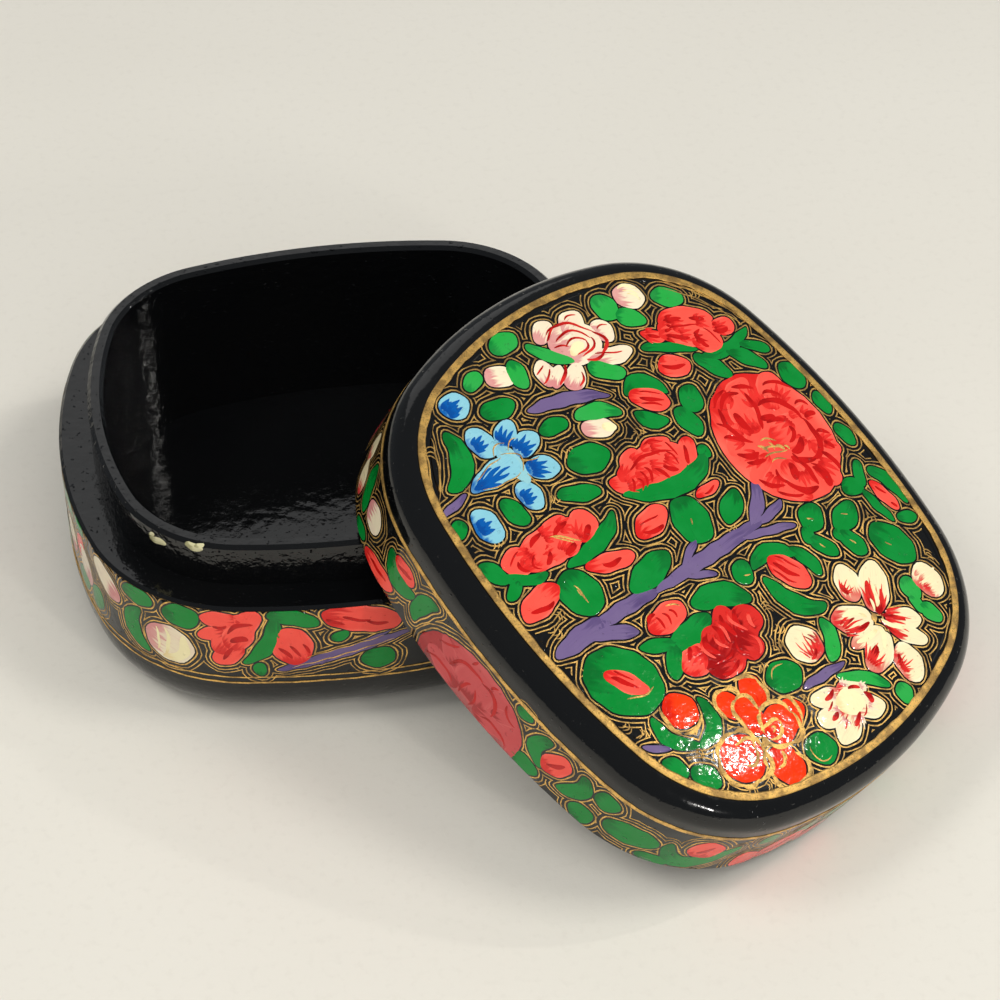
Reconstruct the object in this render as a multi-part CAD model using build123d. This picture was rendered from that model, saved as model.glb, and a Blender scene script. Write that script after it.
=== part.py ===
"""Kashmiri papier mache box, shown open: the base, its glued-in collar, and the lid leaning on it.

Millimetres, +Z up. The origin is the centre of the base's underside, and the base's long side
runs along X. The lid stands with one corner of its skirt on the floor and rests on the collar's rim.
"""

import os
from math import cos, radians, sin, sqrt

from build123d import *

# The rounded-square outline, the same for base and lid
box_length = 76.0
box_width = 68.0
long_side_radius = 99.0
short_side_radius = 57.5
corner_radius = 21.8

# Base shell
base_height = 21.5
wall_thickness = 4.3
floor_thickness = 3.0
foot_rounding = 7.0

# Collar, a strip glued inside the base wall that the lid slides over
collar_thickness = 2.1
collar_rise = 6.5
collar_edge_bevel = 0.5

# Lid
lid_height = 15.2
crown_fall = 0.8
crown_band = 14.0
lid_edge_rounding = 4.2
lid_top_thickness = 3.4
lid_inner_bevel = 1.5

# Fits and edges
lid_clearance = 0.4
cut_bevel = 0.4

# How the lid leans: where its centre stands beside the base, how it is turned, which way it tips
lid_aside_x = 34.1
lid_aside_y = -30.8
lid_turn = -54.1
tip_direction = -44.8
steepest_tip = 70.0
rest_gap = 0.3
tip_accuracy = 0.02

half_length = box_length / 2
half_width = box_width / 2
skirt_thickness = wall_thickness - lid_clearance
rim_height = base_height + collar_rise


def outline(inset):
    """The rounded-square outline, moved inwards, as eight arcs that run smoothly into each other."""
    long_centre = Vector(0, half_width - long_side_radius)
    short_centre = Vector(half_length - short_side_radius, 0)
    apart = short_centre - long_centre
    to_long = long_side_radius - corner_radius
    to_short = short_side_radius - corner_radius
    along = (to_long**2 - to_short**2 + apart.length**2) / (2 * apart.length)
    across = sqrt(to_long**2 - along**2)
    forward = apart.normalized()
    corner = long_centre + forward * along + Vector(forward.Y, -forward.X) * across
    from_long = (corner - long_centre).normalized()
    from_short = (corner - short_centre).normalized()
    radius = corner_radius - inset
    start = corner + from_long * radius
    end = corner + from_short * radius
    middle = corner + (from_long + from_short).normalized() * radius

    edges = []
    for side_x, side_y in ((1, 1), (1, -1), (-1, -1), (-1, 1)):
        edges.append(ThreePointArc(*(Vector(p.X * side_x, p.Y * side_y) for p in (start, middle, end))))
    for side in (1, -1):
        top = Vector(0, side * (half_width - inset))
        edges.append(ThreePointArc(Vector(-start.X, side * start.Y), top, Vector(start.X, side * start.Y)))
        tip = Vector(side * (half_length - inset), 0)
        edges.append(ThreePointArc(Vector(side * end.X, -end.Y), tip, Vector(side * end.X, end.Y)))
    return make_face(edges)


def slab(inset, low, high):
    """A solid of the outline's shape between two heights."""
    return extrude(Pos(0, 0, low) * outline(inset), amount=high - low)


def base_shell():
    """The moulded outer wall and floor, with a rounded foot and a square shoulder for the lid."""
    shell = slab(0, 0, base_height)
    shell = fillet(shell.edges().group_by(Axis.Z)[0], foot_rounding)
    shell = chamfer(shell.edges().group_by(Axis.Z)[-1], cut_bevel)
    return shell - slab(wall_thickness, floor_thickness, base_height)


def collar():
    """The strip inside the base wall, standing on the floor and rising above the shoulder."""
    ring = slab(wall_thickness, floor_thickness, rim_height)
    ring -= slab(wall_thickness + collar_thickness, floor_thickness, rim_height)
    return chamfer(ring.edges().group_by(Axis.Z)[-1], collar_edge_bevel)


def crown_section():
    """Half the lid's section: upright wall, rounded edge, then a long arc up to the flat middle."""
    crown_radius = (crown_band**2 + crown_fall**2) / (2 * crown_fall)
    crown_centre = Vector(crown_band, lid_height - crown_radius)
    rise = sqrt((crown_radius - lid_edge_rounding) ** 2 - (crown_band - lid_edge_rounding) ** 2)
    edge_centre = Vector(lid_edge_rounding, crown_centre.Y + rise)
    outwards = (edge_centre - crown_centre).normalized()
    wall_top = Vector(0, edge_centre.Y)
    edge_middle = edge_centre + (outwards + Vector(-1, 0)).normalized() * lid_edge_rounding
    edge_end = edge_centre + outwards * lid_edge_rounding
    crown_middle = crown_centre + (outwards + Vector(0, 1)).normalized() * crown_radius
    flat_start = Vector(crown_band, lid_height)
    edge = ThreePointArc(wall_top, edge_middle, edge_end)
    crown = ThreePointArc(edge_end, crown_middle, flat_start)
    rest = Polyline(flat_start, Vector(crown_band, 0), Vector(0, 0), wall_top)
    return make_face([edge, crown, *rest.edges()])


def lid_block():
    """The lid before it is hollowed: the outline's shape, falling away gently to a rounded upper edge."""
    path = outline(0).face().outer_wire()
    inwards = Vector(0, 0, 1).cross(path % 0)
    if inwards.dot(path @ 0) > 0:
        inwards = -inwards
    upright = Plane(origin=path @ 0, x_dir=inwards, z_dir=inwards.cross(Vector(0, 0, 1)))
    border = sweep(upright * crown_section(), path=path)
    return border + slab(crown_band / 2, 0, lid_height - crown_fall) + slab(crown_band, 0, lid_height)


def lid_shell():
    """The hollow lid, with a domed top and a skirt, in its own frame with the skirt's rim at zero."""
    hollow = slab(skirt_thickness, 0, lid_height - lid_top_thickness)
    hollow = chamfer(hollow.edges().group_by(Axis.Z)[-1], lid_inner_bevel)
    shell = lid_block() - hollow
    return chamfer(shell.edges().group_by(Axis.Z)[0], cut_bevel)


def tipped(part, angle):
    """The part turned, tipped and put beside the base, with its lowest point on the floor."""
    way = radians(tip_direction)
    hinge_line = Axis((0, 0, 0), (-sin(way), cos(way), 0))
    part = part.rotate(Axis.Z, lid_turn).rotate(hinge_line, angle)
    return Pos(lid_aside_x, lid_aside_y, -part.bounding_box().min.Z) * part


def resting_tip():
    """The angle at which the lid's skirt comes to rest on the collar's rim."""
    skirt_rim = slab(0, 0, cut_bevel) - slab(skirt_thickness, 0, cut_bevel)
    closed_base = slab(0, 0, base_height) + slab(wall_thickness, 0, rim_height)
    low = 0.0
    high = steepest_tip
    while high - low > tip_accuracy:
        middle = (low + high) / 2
        if tipped(skirt_rim, middle).distance_to(closed_base) > rest_gap:
            high = middle
        else:
            low = middle
    return high


os.makedirs("parts", exist_ok=True)
export_step(base_shell(), "parts/base_shell.step")
export_step(collar(), "parts/collar.step")
export_step(tipped(lid_shell(), resting_tip()), "parts/lid_shell.step")
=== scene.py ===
"""The lacquer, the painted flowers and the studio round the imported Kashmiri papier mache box.

The scene is in metres. The painting is laid out flat, in millimetres, for the lid's top, the lid's
skirt and the base's band. Every stroke is a small closed relief of paint, and once a face is full its
strokes are bent onto the box. Outlines and echo lines are the same strokes made wider, in gold and
in black by turns, laid under the colours.
"""

from math import atan2, cos, hypot, inf, pi, radians, sin, sqrt

import bmesh
import bpy
from mathutils import Matrix, Vector


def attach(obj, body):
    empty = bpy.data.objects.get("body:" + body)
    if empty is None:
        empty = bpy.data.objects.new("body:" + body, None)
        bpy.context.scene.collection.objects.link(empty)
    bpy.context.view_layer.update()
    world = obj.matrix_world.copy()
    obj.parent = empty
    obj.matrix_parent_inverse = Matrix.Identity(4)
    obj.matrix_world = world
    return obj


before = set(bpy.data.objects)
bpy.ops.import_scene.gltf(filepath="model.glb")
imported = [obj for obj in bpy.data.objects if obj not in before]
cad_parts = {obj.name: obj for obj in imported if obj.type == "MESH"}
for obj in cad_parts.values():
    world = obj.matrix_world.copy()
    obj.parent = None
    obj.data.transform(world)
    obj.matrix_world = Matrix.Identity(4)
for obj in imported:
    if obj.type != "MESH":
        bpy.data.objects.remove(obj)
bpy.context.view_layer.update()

MM = 0.001

# The box, in millimetres; the lid's edge is rounded as its varnish is, tighter than it is moulded
HALF_LENGTH = 38.0
HALF_WIDTH = 34.0
LONG_SIDE_RADIUS = 99.0
SHORT_SIDE_RADIUS = 57.5
CORNER_RADIUS = 21.8
LID_HEIGHT = 15.2
CROWN_FALL = 0.8
CROWN_BAND = 14.0
LID_EDGE_ROUNDING = 2.9
RIM_HEIGHT = 28.0
COLLAR_INSET = 4.3
COLLAR_BEVEL = 0.5

# How the lid leans on the base, as it was found in the part
LID_ASIDE = (34.1, -30.8, 16.449)
LID_TURN = -54.1
TIP_DIRECTION = -44.8
LID_TIP = 25.754

# Paint, in millimetres: how deep a stroke's back lies, the steps between coats and the hand's unevenness,
# whose waves are in radians a millimetre
SINK = 0.04
COAT = 0.008
RELIEF = 0.006
ECHO_COAT = 0.008
ECHO_RELIEF = 0.001
GROUND_COAT = 0.058
HAND = 0.09
SHAKE_WAVE = 1.9
SWAY_WAVE = 2.3
SWELL = 0.06
SWELL_WAVE = 0.9
QUIVER = 0.05
QUIVER_WAVE = 2.3
NEARLY_FLAT = 0.01

# The echo lines round every stroke, from the lowest to the top one, and how far each reaches past it
ECHOES = (
    ("gold", 1.52), ("ground", 1.36), ("gold", 0.98), ("ground", 0.82), ("gold", 0.42), ("ground", 0.23),
)

# Half of what a stroke fills of its own unit on the map that the streaks of paint follow
MAP_SHARE = 0.48

# How many steps a stroke gets along its length, when it is shorter than so many millimetres
STEPS_ALONG = ((2, 8), (5, 10), (10, 14), (inf, 22))
WIDE_STROKE = 2.2

# The gold lines and the painted zones, in millimetres
BORDER_INSET = 3.39
BORDER_HALF = 0.5
BORDER_COAT = 0.16
SKIRT_LINE = 10.06
SKIRT_LINE_HALF = 0.33
SKIRT_LINE_COAT = 0.07
BAND_LINES = (("band_gold_line", 8.1, 0.13), ("band_gold_upper_line", 9.1, 0.1))
BAND_LINE_COAT = 0.06
SKIRT_LOW = 0.45
BAND_LOW = 7.2
BAND_HIGH = 21.1
FLAKE_COAT = 0.03
FLAKE_RELIEF = 0.05

# The varnish along the lid's edge: how far it stands off, reaches in under the border and roots in the lid
VARNISH = 0.01
VARNISH_REACH = 1.2
VARNISH_ROOT = 0.9
VARNISH_FOOT = 0.6
VARNISH_RISE = 0.4


# ---------------------------------------------------------------- the faces of the box

LONG_CENTRE = Vector((0.0, HALF_WIDTH - LONG_SIDE_RADIUS))
SHORT_CENTRE = Vector((HALF_LENGTH - SHORT_SIDE_RADIUS, 0.0))


def corner_place():
    """Centre of the corner arc, which runs smoothly into the long side's arc and the short side's."""
    apart = SHORT_CENTRE - LONG_CENTRE
    to_long = LONG_SIDE_RADIUS - CORNER_RADIUS
    to_short = SHORT_SIDE_RADIUS - CORNER_RADIUS
    along = (to_long**2 - to_short**2 + apart.length_squared) / (2 * apart.length)
    across = sqrt(to_long**2 - along**2)
    forward = apart.normalized()
    return LONG_CENTRE + forward * along + Vector((forward.y, -forward.x)) * across


CORNER_CENTRE = corner_place()
SHORT_TURN = atan2(CORNER_CENTRE.y - SHORT_CENTRE.y, CORNER_CENTRE.x - SHORT_CENTRE.x)
LONG_TURN = atan2(CORNER_CENTRE.y - LONG_CENTRE.y, CORNER_CENTRE.x - LONG_CENTRE.x)
SHORT_RUN = SHORT_SIDE_RADIUS * SHORT_TURN
CORNER_RUN = CORNER_RADIUS * (LONG_TURN - SHORT_TURN)
LONG_RUN = LONG_SIDE_RADIUS * (pi / 2 - LONG_TURN)
QUARTER = SHORT_RUN + CORNER_RUN + LONG_RUN
AROUND = 4 * QUARTER

CROWN_RADIUS = (CROWN_BAND**2 + CROWN_FALL**2) / (2 * CROWN_FALL)
CROWN_CENTRE = LID_HEIGHT - CROWN_RADIUS
EDGE_CENTRE = CROWN_CENTRE + sqrt(
    (CROWN_RADIUS - LID_EDGE_ROUNDING) ** 2 - (CROWN_BAND - LID_EDGE_ROUNDING) ** 2
)
EDGE_END = LID_EDGE_ROUNDING - LID_EDGE_ROUNDING * (CROWN_BAND - LID_EDGE_ROUNDING) / (
    CROWN_RADIUS - LID_EDGE_ROUNDING
)
EDGE_TURN = atan2(EDGE_CENTRE - CROWN_CENTRE, CROWN_BAND - LID_EDGE_ROUNDING)


def on_outline(distance):
    """Point and way out at a distance round the outline, anticlockwise from its right-hand tip."""
    quarter, along = divmod(distance % AROUND, QUARTER)
    if quarter in (1, 3):
        along = QUARTER - along
    if along < SHORT_RUN:
        centre, radius, turn = SHORT_CENTRE, SHORT_SIDE_RADIUS, along / SHORT_SIDE_RADIUS
    elif along < SHORT_RUN + CORNER_RUN:
        turn = SHORT_TURN + (along - SHORT_RUN) / CORNER_RADIUS
        centre, radius = CORNER_CENTRE, CORNER_RADIUS
    else:
        left = along - SHORT_RUN - CORNER_RUN
        centre, radius, turn = LONG_CENTRE, LONG_SIDE_RADIUS, LONG_TURN + left / LONG_SIDE_RADIUS
    mirror = Vector((-1 if quarter in (1, 2) else 1, -1 if quarter in (2, 3) else 1))
    out = Vector((cos(turn), sin(turn)))
    point = centre + out * radius
    return Vector((point.x * mirror.x, point.y * mirror.y)), Vector((out.x * mirror.x, out.y * mirror.y))


def beside(around, out_by):
    """A point of the outline at a distance round it, moved outwards."""
    point, out = on_outline(around)
    return point + out * out_by


def nearest_arc(x, y):
    """Centre and radius of the outline's arc that faces a point of the first quarter."""
    turn = atan2(y - CORNER_CENTRE.y, x - CORNER_CENTRE.x)
    if SHORT_TURN < turn < LONG_TURN:
        return CORNER_CENTRE, CORNER_RADIUS
    to_long = LONG_SIDE_RADIUS - hypot(x, y - LONG_CENTRE.y)
    to_short = SHORT_SIDE_RADIUS - hypot(x - SHORT_CENTRE.x, y)
    if to_long < to_short:
        return LONG_CENTRE, LONG_SIDE_RADIUS
    return SHORT_CENTRE, SHORT_SIDE_RADIUS


def crown_height(inset):
    """Height of the lid's top over its skirt's rim, at a distance inside the outline."""
    if inset >= CROWN_BAND:
        return LID_HEIGHT
    if inset >= EDGE_END:
        return CROWN_CENTRE + sqrt(CROWN_RADIUS**2 - (CROWN_BAND - inset) ** 2)
    return EDGE_CENTRE + sqrt(LID_EDGE_ROUNDING**2 - (LID_EDGE_ROUNDING - inset) ** 2)


def lid_place():
    """The move that takes the lid from its own frame to where it leans."""
    way = radians(TIP_DIRECTION)
    tip = Matrix.Rotation(radians(LID_TIP), 4, Vector((-sin(way), cos(way), 0)))
    return Matrix.Translation(LID_ASIDE) @ tip @ Matrix.Rotation(radians(LID_TURN), 4, "Z")


LID_PLACE = lid_place()


def on_lid_top(spot):
    """A spot of the lid's painting, kept inside the middle of the gold border."""
    x, y, height = spot
    centre, radius = nearest_arc(abs(x), abs(y))
    away = Vector((abs(x), abs(y))) - centre
    inset = radius - away.length
    if inset < BORDER_INSET:
        kept = centre + away.normalized() * (radius - BORDER_INSET)
        x = kept.x if x > 0 else -kept.x
        y = kept.y if y > 0 else -kept.y
        inset = BORDER_INSET
    return LID_PLACE @ Vector((x, y, crown_height(inset) + height)) * MM


def on_lid_border(spot):
    """A spot of a line round the lid's top: distance round, distance inside the outline, height."""
    around, inset, height = spot
    return LID_PLACE @ Vector((*beside(around, -inset), crown_height(inset) + height)) * MM


def on_lid_skirt(spot):
    """A spot of the skirt's painting: distance round, height over the rim, thickness of paint."""
    return LID_PLACE @ Vector((*beside(spot[0], spot[2]), spot[1])) * MM


def on_base_wall(spot):
    """A spot of the base's painting: distance round, height over the floor, thickness of paint."""
    return Vector((*beside(spot[0], spot[2]), spot[1])) * MM


def on_collar(spot):
    """A spot on the collar's outer face, which carries on over its bevel onto the rim."""
    around, level, height = spot
    inset = COLLAR_INSET + max(level - RIM_HEIGHT + COLLAR_BEVEL, 0) - height
    return Vector((*beside(around, -inset), min(level, RIM_HEIGHT))) * MM


# ---------------------------------------------------------------- finishes

class Number:
    """A number inside a finish, which can be used in a sum."""

    def __init__(self, finish, socket):
        self.finish = finish
        self.socket = socket

    def __add__(self, other):
        return self.finish.sum("ADD", self, other)

    def __radd__(self, other):
        return self.finish.sum("ADD", other, self)

    def __sub__(self, other):
        return self.finish.sum("SUBTRACT", self, other)

    def __rsub__(self, other):
        return self.finish.sum("SUBTRACT", other, self)

    def __mul__(self, other):
        return self.finish.sum("MULTIPLY", self, other)

    def __rmul__(self, other):
        return self.finish.sum("MULTIPLY", other, self)


class Finish:
    """A material, built up node by node."""

    def __init__(self, name):
        self.material = bpy.data.materials.new(name)
        self.material.use_nodes = True
        self.tree = self.material.node_tree
        self.tree.nodes.clear()

    def add(self, kind, settings=None, inputs=None):
        """A node of some kind, its settings first and then the values or links of its sockets."""
        made = self.tree.nodes.new(kind)
        for name, value in (settings or {}).items():
            setattr(made, name, value)
        for name, value in (inputs or {}).items():
            if isinstance(value, Number):
                value = value.socket
            if isinstance(value, bpy.types.NodeSocket):
                self.tree.links.new(value, made.inputs[name])
            else:
                made.inputs[name].default_value = value
        return made

    def sum(self, operation, first, second):
        """The result of a sum of two numbers."""
        node = self.add("ShaderNodeMath", {"operation": operation}, {0: first, 1: second})
        return Number(self, node.outputs[0])

    def part(self, value):
        """What is left of a number over its whole part."""
        return Number(self, self.add("ShaderNodeMath", {"operation": "FRACT"}, {0: value}).outputs[0])

    def ease(self, value, low, high):
        """A smooth rise from 0 to 1 as a number goes from low to high."""
        ranges = {"Value": value, "From Min": low, "From Max": high, "To Min": 0.0, "To Max": 1.0}
        node = self.add("ShaderNodeMapRange", {"interpolation_type": "SMOOTHSTEP"}, ranges)
        return Number(self, node.outputs[0])

    def blend(self, mask, first, second):
        """One colour turning into another."""
        node = self.add("ShaderNodeMix", {"data_type": "RGBA"}, {0: mask, 6: first, 7: second})
        return node.outputs[2]

    def place(self):
        """Where a point is on the object, in metres."""
        return self.add("ShaderNodeTexCoord").outputs["Object"]

    def stretched(self, vector, factors):
        """A vector multiplied part by part."""
        node = self.add("ShaderNodeVectorMath", {"operation": "MULTIPLY"}, {0: vector, 1: factors})
        return node.outputs[0]

    def noise(self, vector, scale, detail=2.0, roughness=0.5):
        """Soft random light and dark."""
        inputs = {"Vector": vector, "Scale": scale, "Detail": detail, "Roughness": roughness}
        return Number(self, self.add("ShaderNodeTexNoise", None, inputs).outputs[0])

    def bumps(self, height, depth, below=None):
        """A normal that follows a height, in metres."""
        inputs = {"Height": height, "Distance": depth, "Strength": 1.0}
        if below:
            inputs["Normal"] = below
        return self.add("ShaderNodeBump", None, inputs).outputs[0]

    def finished(self, inputs):
        """The material, with a glossy surface that has these inputs."""
        surface = self.add("ShaderNodeBsdfPrincipled", None, inputs)
        self.add("ShaderNodeOutputMaterial", None, {"Surface": surface.outputs[0]})
        return self.material


def colour(red, green, blue):
    """A colour given as it looks on a screen, from 0 to 255 a part."""
    parts = []
    for part in (red / 255, green / 255, blue / 255):
        parts.append(part / 12.92 if part < 0.04045 else ((part + 0.055) / 1.055) ** 2.4)
    return (*parts, 1.0)


def hand_dipped(finish, lumps=0.00010, specks=0.000022):
    """The uneven skin of brushed varnish: slow waves, a fine ripple and a few specks of dust."""
    place = finish.place()
    waves = finish.noise(place, 190.0, 2.0)
    ripple = finish.noise(place, 900.0, 2.0)
    dust = finish.ease(finish.noise(place, 1700.0, 1.0), 0.68, 0.8)
    skin = finish.bumps(waves, lumps)
    skin = finish.bumps(ripple, specks, skin)
    return finish.bumps(dust, specks * 2, skin)


def lacquer(name, lumps=0.00010, specks=0.000022, shine=0.1):
    """Black lacquer over papier mache."""
    finish = Finish(name)
    clouds = finish.noise(finish.place(), 60.0, 3.0)
    black = finish.blend(clouds, colour(5, 6, 8), colour(12, 12, 12))
    wear = finish.ease(finish.noise(finish.place(), 420.0, 3.0), 0.55, 0.75)
    return finish.finished(
        {
            "Base Color": black,
            "Roughness": wear * 0.08 + shine,
            "IOR": 1.5,
            "Normal": hand_dipped(finish, lumps, specks),
        }
    )


def brushed_paint(name, light, deep, reach, streaks, fineness, shift=None, rim=None):
    """Opaque paint that turns in streaks from its deep colour, at a stroke's start, to its light one."""
    finish = Finish(name)
    along_across = finish.add("ShaderNodeUVMap", {"uv_map": "stroke"}).outputs[0]
    parts = finish.add("ShaderNodeSeparateXYZ", None, {0: along_across})
    along = finish.part(Number(finish, parts.outputs[0]))
    hairs = finish.noise(finish.stretched(along_across, (1.1, fineness, 1.0)), 1.0, 3.0, 0.6)
    turned = finish.ease(along + (hairs - 0.5) * streaks, reach - 0.1, reach + 0.1)
    body = finish.blend(turned, colour(*deep), colour(*light))
    edge = Number(finish, parts.outputs[1]) * 2 - 1
    body = finish.blend(finish.ease(edge * edge, 0.5, 0.8) * 0.5, body, colour(*(rim or light)))
    clouds = finish.ease(finish.noise(finish.place(), 330.0, 2.0), 0.35, 0.7)
    body = finish.blend(clouds * 0.35, body, colour(*(shift or light)))
    fine = finish.noise(finish.stretched(along_across, (2.0, fineness * 3, 1.0)), 1.0, 2.0)
    body = finish.blend(finish.ease(fine, 0.55, 0.8) * 0.25, body, colour(*deep))
    return finish.finished(
        {
            "Base Color": body,
            "Roughness": hairs * 0.07 + 0.06,
            "IOR": 1.36,
            "Normal": hand_dipped(finish, specks=0.00005),
        }
    )


def gold_paint(name):
    """Gold powder in varnish: grainy, bright where it is thick and brown where it has worn thin."""
    finish = Finish(name)
    place = finish.place()
    grain = finish.noise(place, 5200.0, 2.0)
    thin = finish.ease(finish.noise(place, 620.0, 3.0), 0.38, 0.66)
    body = finish.blend(thin, colour(246, 196, 108), colour(176, 138, 80))
    body = finish.blend(finish.ease(grain, 0.52, 0.7) * 0.55, body, colour(96, 74, 44))
    return finish.finished(
        {
            "Base Color": body,
            "Metallic": 0.68,
            "Roughness": grain * 0.16 + 0.3,
            "Normal": finish.bumps(grain, 0.00002, hand_dipped(finish)),
        }
    )


# Each paint's own name, its light and its deep colour, where a stroke turns from one to the other, how
# streaky and how fine it is, and the colours that cloud it and gather at its rim
BRUSHED_PAINTS = {
    "leaf": ("leaf_green", (4, 126, 46), (3, 98, 36), 0.25, 0.9, 5.0, (24, 142, 64)),
    "shoot": ("shoot_green", (36, 160, 64), (12, 126, 50), 0.25, 0.9, 5.0, (58, 160, 80)),
    "coral": ("coral_red", (246, 84, 70), (206, 32, 28), 0.24, 0.9, 8.0, (234, 60, 52), (255, 118, 98)),
    # The rose coral again, made darker as painted shade for the lid's skirt
    "madder": ("coral_red_in_painted_shade", (200, 74, 76), (158, 30, 34), 0.24, 0.9, 8.0, (188, 60, 62), (214, 100, 98)),
    "petal_shade": ("petal_shade", (220, 46, 40), (190, 24, 22), 0.3, 0.8, 6.0),
    "deep_red": ("fold_red", (190, 20, 18), (156, 10, 10), 0.3, 0.6, 6.0),
    "crimson": ("crimson_red", (206, 42, 36), (146, 8, 10), 0.5, 1.2, 7.0, (176, 22, 22)),
    "cream": (
        "cream_white", (236, 222, 178), (206, 44, 46), 0.3, 1.0, 10.0, (230, 212, 178), (246, 236, 204),
    ),
    "ivory": ("ivory_white", (238, 226, 178), (228, 204, 150), 0.2, 0.5, 8.0),
    "flake": ("bare_flake", (206, 200, 160), (140, 136, 98), 0.3, 1.2, 6.0, (176, 172, 130)),
    "blush": (
        "blush_pink", (234, 220, 188), (206, 132, 130), 0.36, 1.1, 9.0, (224, 192, 176), (242, 232, 202),
    ),
    "sky": ("sky_blue", (128, 188, 204), (14, 92, 164), 0.2, 0.6, 9.0, (146, 200, 212)),
    "sea": ("sea_blue", (6, 84, 160), (4, 68, 142), 0.4, 0.8, 6.0),
    "mist": ("mist_blue", (140, 192, 200), (118, 176, 196), 0.3, 0.6, 9.0),
    "violet": ("violet_stem", (108, 90, 132), (86, 70, 114), 0.3, 1.0, 5.0, (118, 102, 138)),
    "orange": ("orange_red", (240, 50, 8), (204, 24, 4), 0.3, 0.9, 7.0, (246, 72, 16)),
}


def paints():
    """Every colour on the box by its name."""
    mixed = {"ground": lacquer("black_ground"), "gold": gold_paint("gold_line")}
    for name, recipe in BRUSHED_PAINTS.items():
        mixed[name] = brushed_paint(*recipe)
    return mixed


# ---------------------------------------------------------------- strokes of paint

def along_curve(points, part):
    """Place and direction on the smooth curve through three points, from 0 at its start to 1."""
    start, middle, end = points
    place = start * (2 * part - 1) * (part - 1)
    place = place + middle * 4 * part * (1 - part) + end * part * (2 * part - 1)
    way = start * (4 * part - 3) + middle * (4 - 8 * part) + end * (4 * part - 1)
    return place, way.normalized()


class Stroke:
    """One touch of the brush: a curve through three points, and half the width of its middle."""

    def __init__(self, paint, points, wide, coat, taper, outlined):
        self.paint = paint
        self.points = [Vector(point) for point in points]
        self.wide = wide
        self.coat = coat
        self.taper = taper
        self.outlined = outlined

    def wider(self, extra):
        """The curve's points and half width, with a margin all round."""
        first_way = along_curve(self.points, 0)[1]
        last_way = along_curve(self.points, 1)[1]
        points = [self.points[0] - first_way * extra, self.points[1], self.points[2] + last_way * extra]
        return points, self.wide + extra

    def fineness(self):
        """How many steps the stroke needs along its length and round it."""
        length = (self.points[1] - self.points[0]).length + (self.points[2] - self.points[1]).length
        along = next(steps for longest, steps in STEPS_ALONG if length < longest)
        return along, 8 if self.wide < WIDE_STROKE else 16


def towards(turn):
    """A step of one millimetre in a direction given in degrees."""
    return Vector((cos(radians(turn)), sin(radians(turn))))


def ball(rings, segments):
    """A ball whose poles lie along X, from which strokes are drawn out."""
    mesh = bmesh.new()
    mesh.loops.layers.uv.new("stroke")
    lying = Matrix.Rotation(pi / 2, 4, "Y")
    bmesh.ops.create_uvsphere(mesh, u_segments=segments, v_segments=rings, radius=1.0, matrix=lying)
    return mesh


# One ball for each fineness that a stroke or its echoes may ask for
BALLS = {(steps, round_it): ball(steps, round_it) for _, steps in STEPS_ALONG for round_it in (4, 8, 16)}
SCRAP = bpy.data.meshes.new("scrap")


def lay_stroke(mesh, stroke, extra, height, relief, number):
    """Adds a stroke to a flat painting as a closed sliver, from a ball drawn out along its curve."""
    points, wide = stroke.wider(extra)
    rings, segments = stroke.fineness()
    sliver = BALLS[rings, segments if extra == 0 else segments // 2].copy()
    map_of = {}
    for vert in sliver.verts:
        part = vert.co.x
        ring = sqrt(max(1 - part * part, 0.0))
        across = vert.co.y / ring if ring > NEARLY_FLAT else 0.0
        up = vert.co.z / ring if ring > NEARLY_FLAT else 0.0
        place, way = along_curve(points, (part + 1) / 2)
        side = across * ring * wide * (1 + stroke.taper * part)
        rise = height + relief * up if up > -NEARLY_FLAT else -SINK
        x = place.x - way.y * side
        y = place.y + way.x * side
        shake = HAND * sin(SHAKE_WAVE * y + number + extra)
        sway = HAND * sin(SWAY_WAVE * x + 2 * number - extra)
        vert.co = (x + shake, y + sway, rise)
        map_x = part * MAP_SHARE + 0.5 + 2 * number
        map_y = across * ring * MAP_SHARE + 0.5
        map_of[vert] = (map_x, map_y, abs(up) < NEARLY_FLAT)
    layer = sliver.loops.layers.uv["stroke"]
    for face in sliver.faces:
        face.smooth = True
        for loop in face.loops:
            loop[layer].uv = map_of[loop.vert][:2]
    for edge in sliver.edges:
        edge.smooth = not all(map_of[vert][2] for vert in edge.verts)
    sliver.to_mesh(SCRAP)
    sliver.free()
    mesh.from_mesh(SCRAP)


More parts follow.
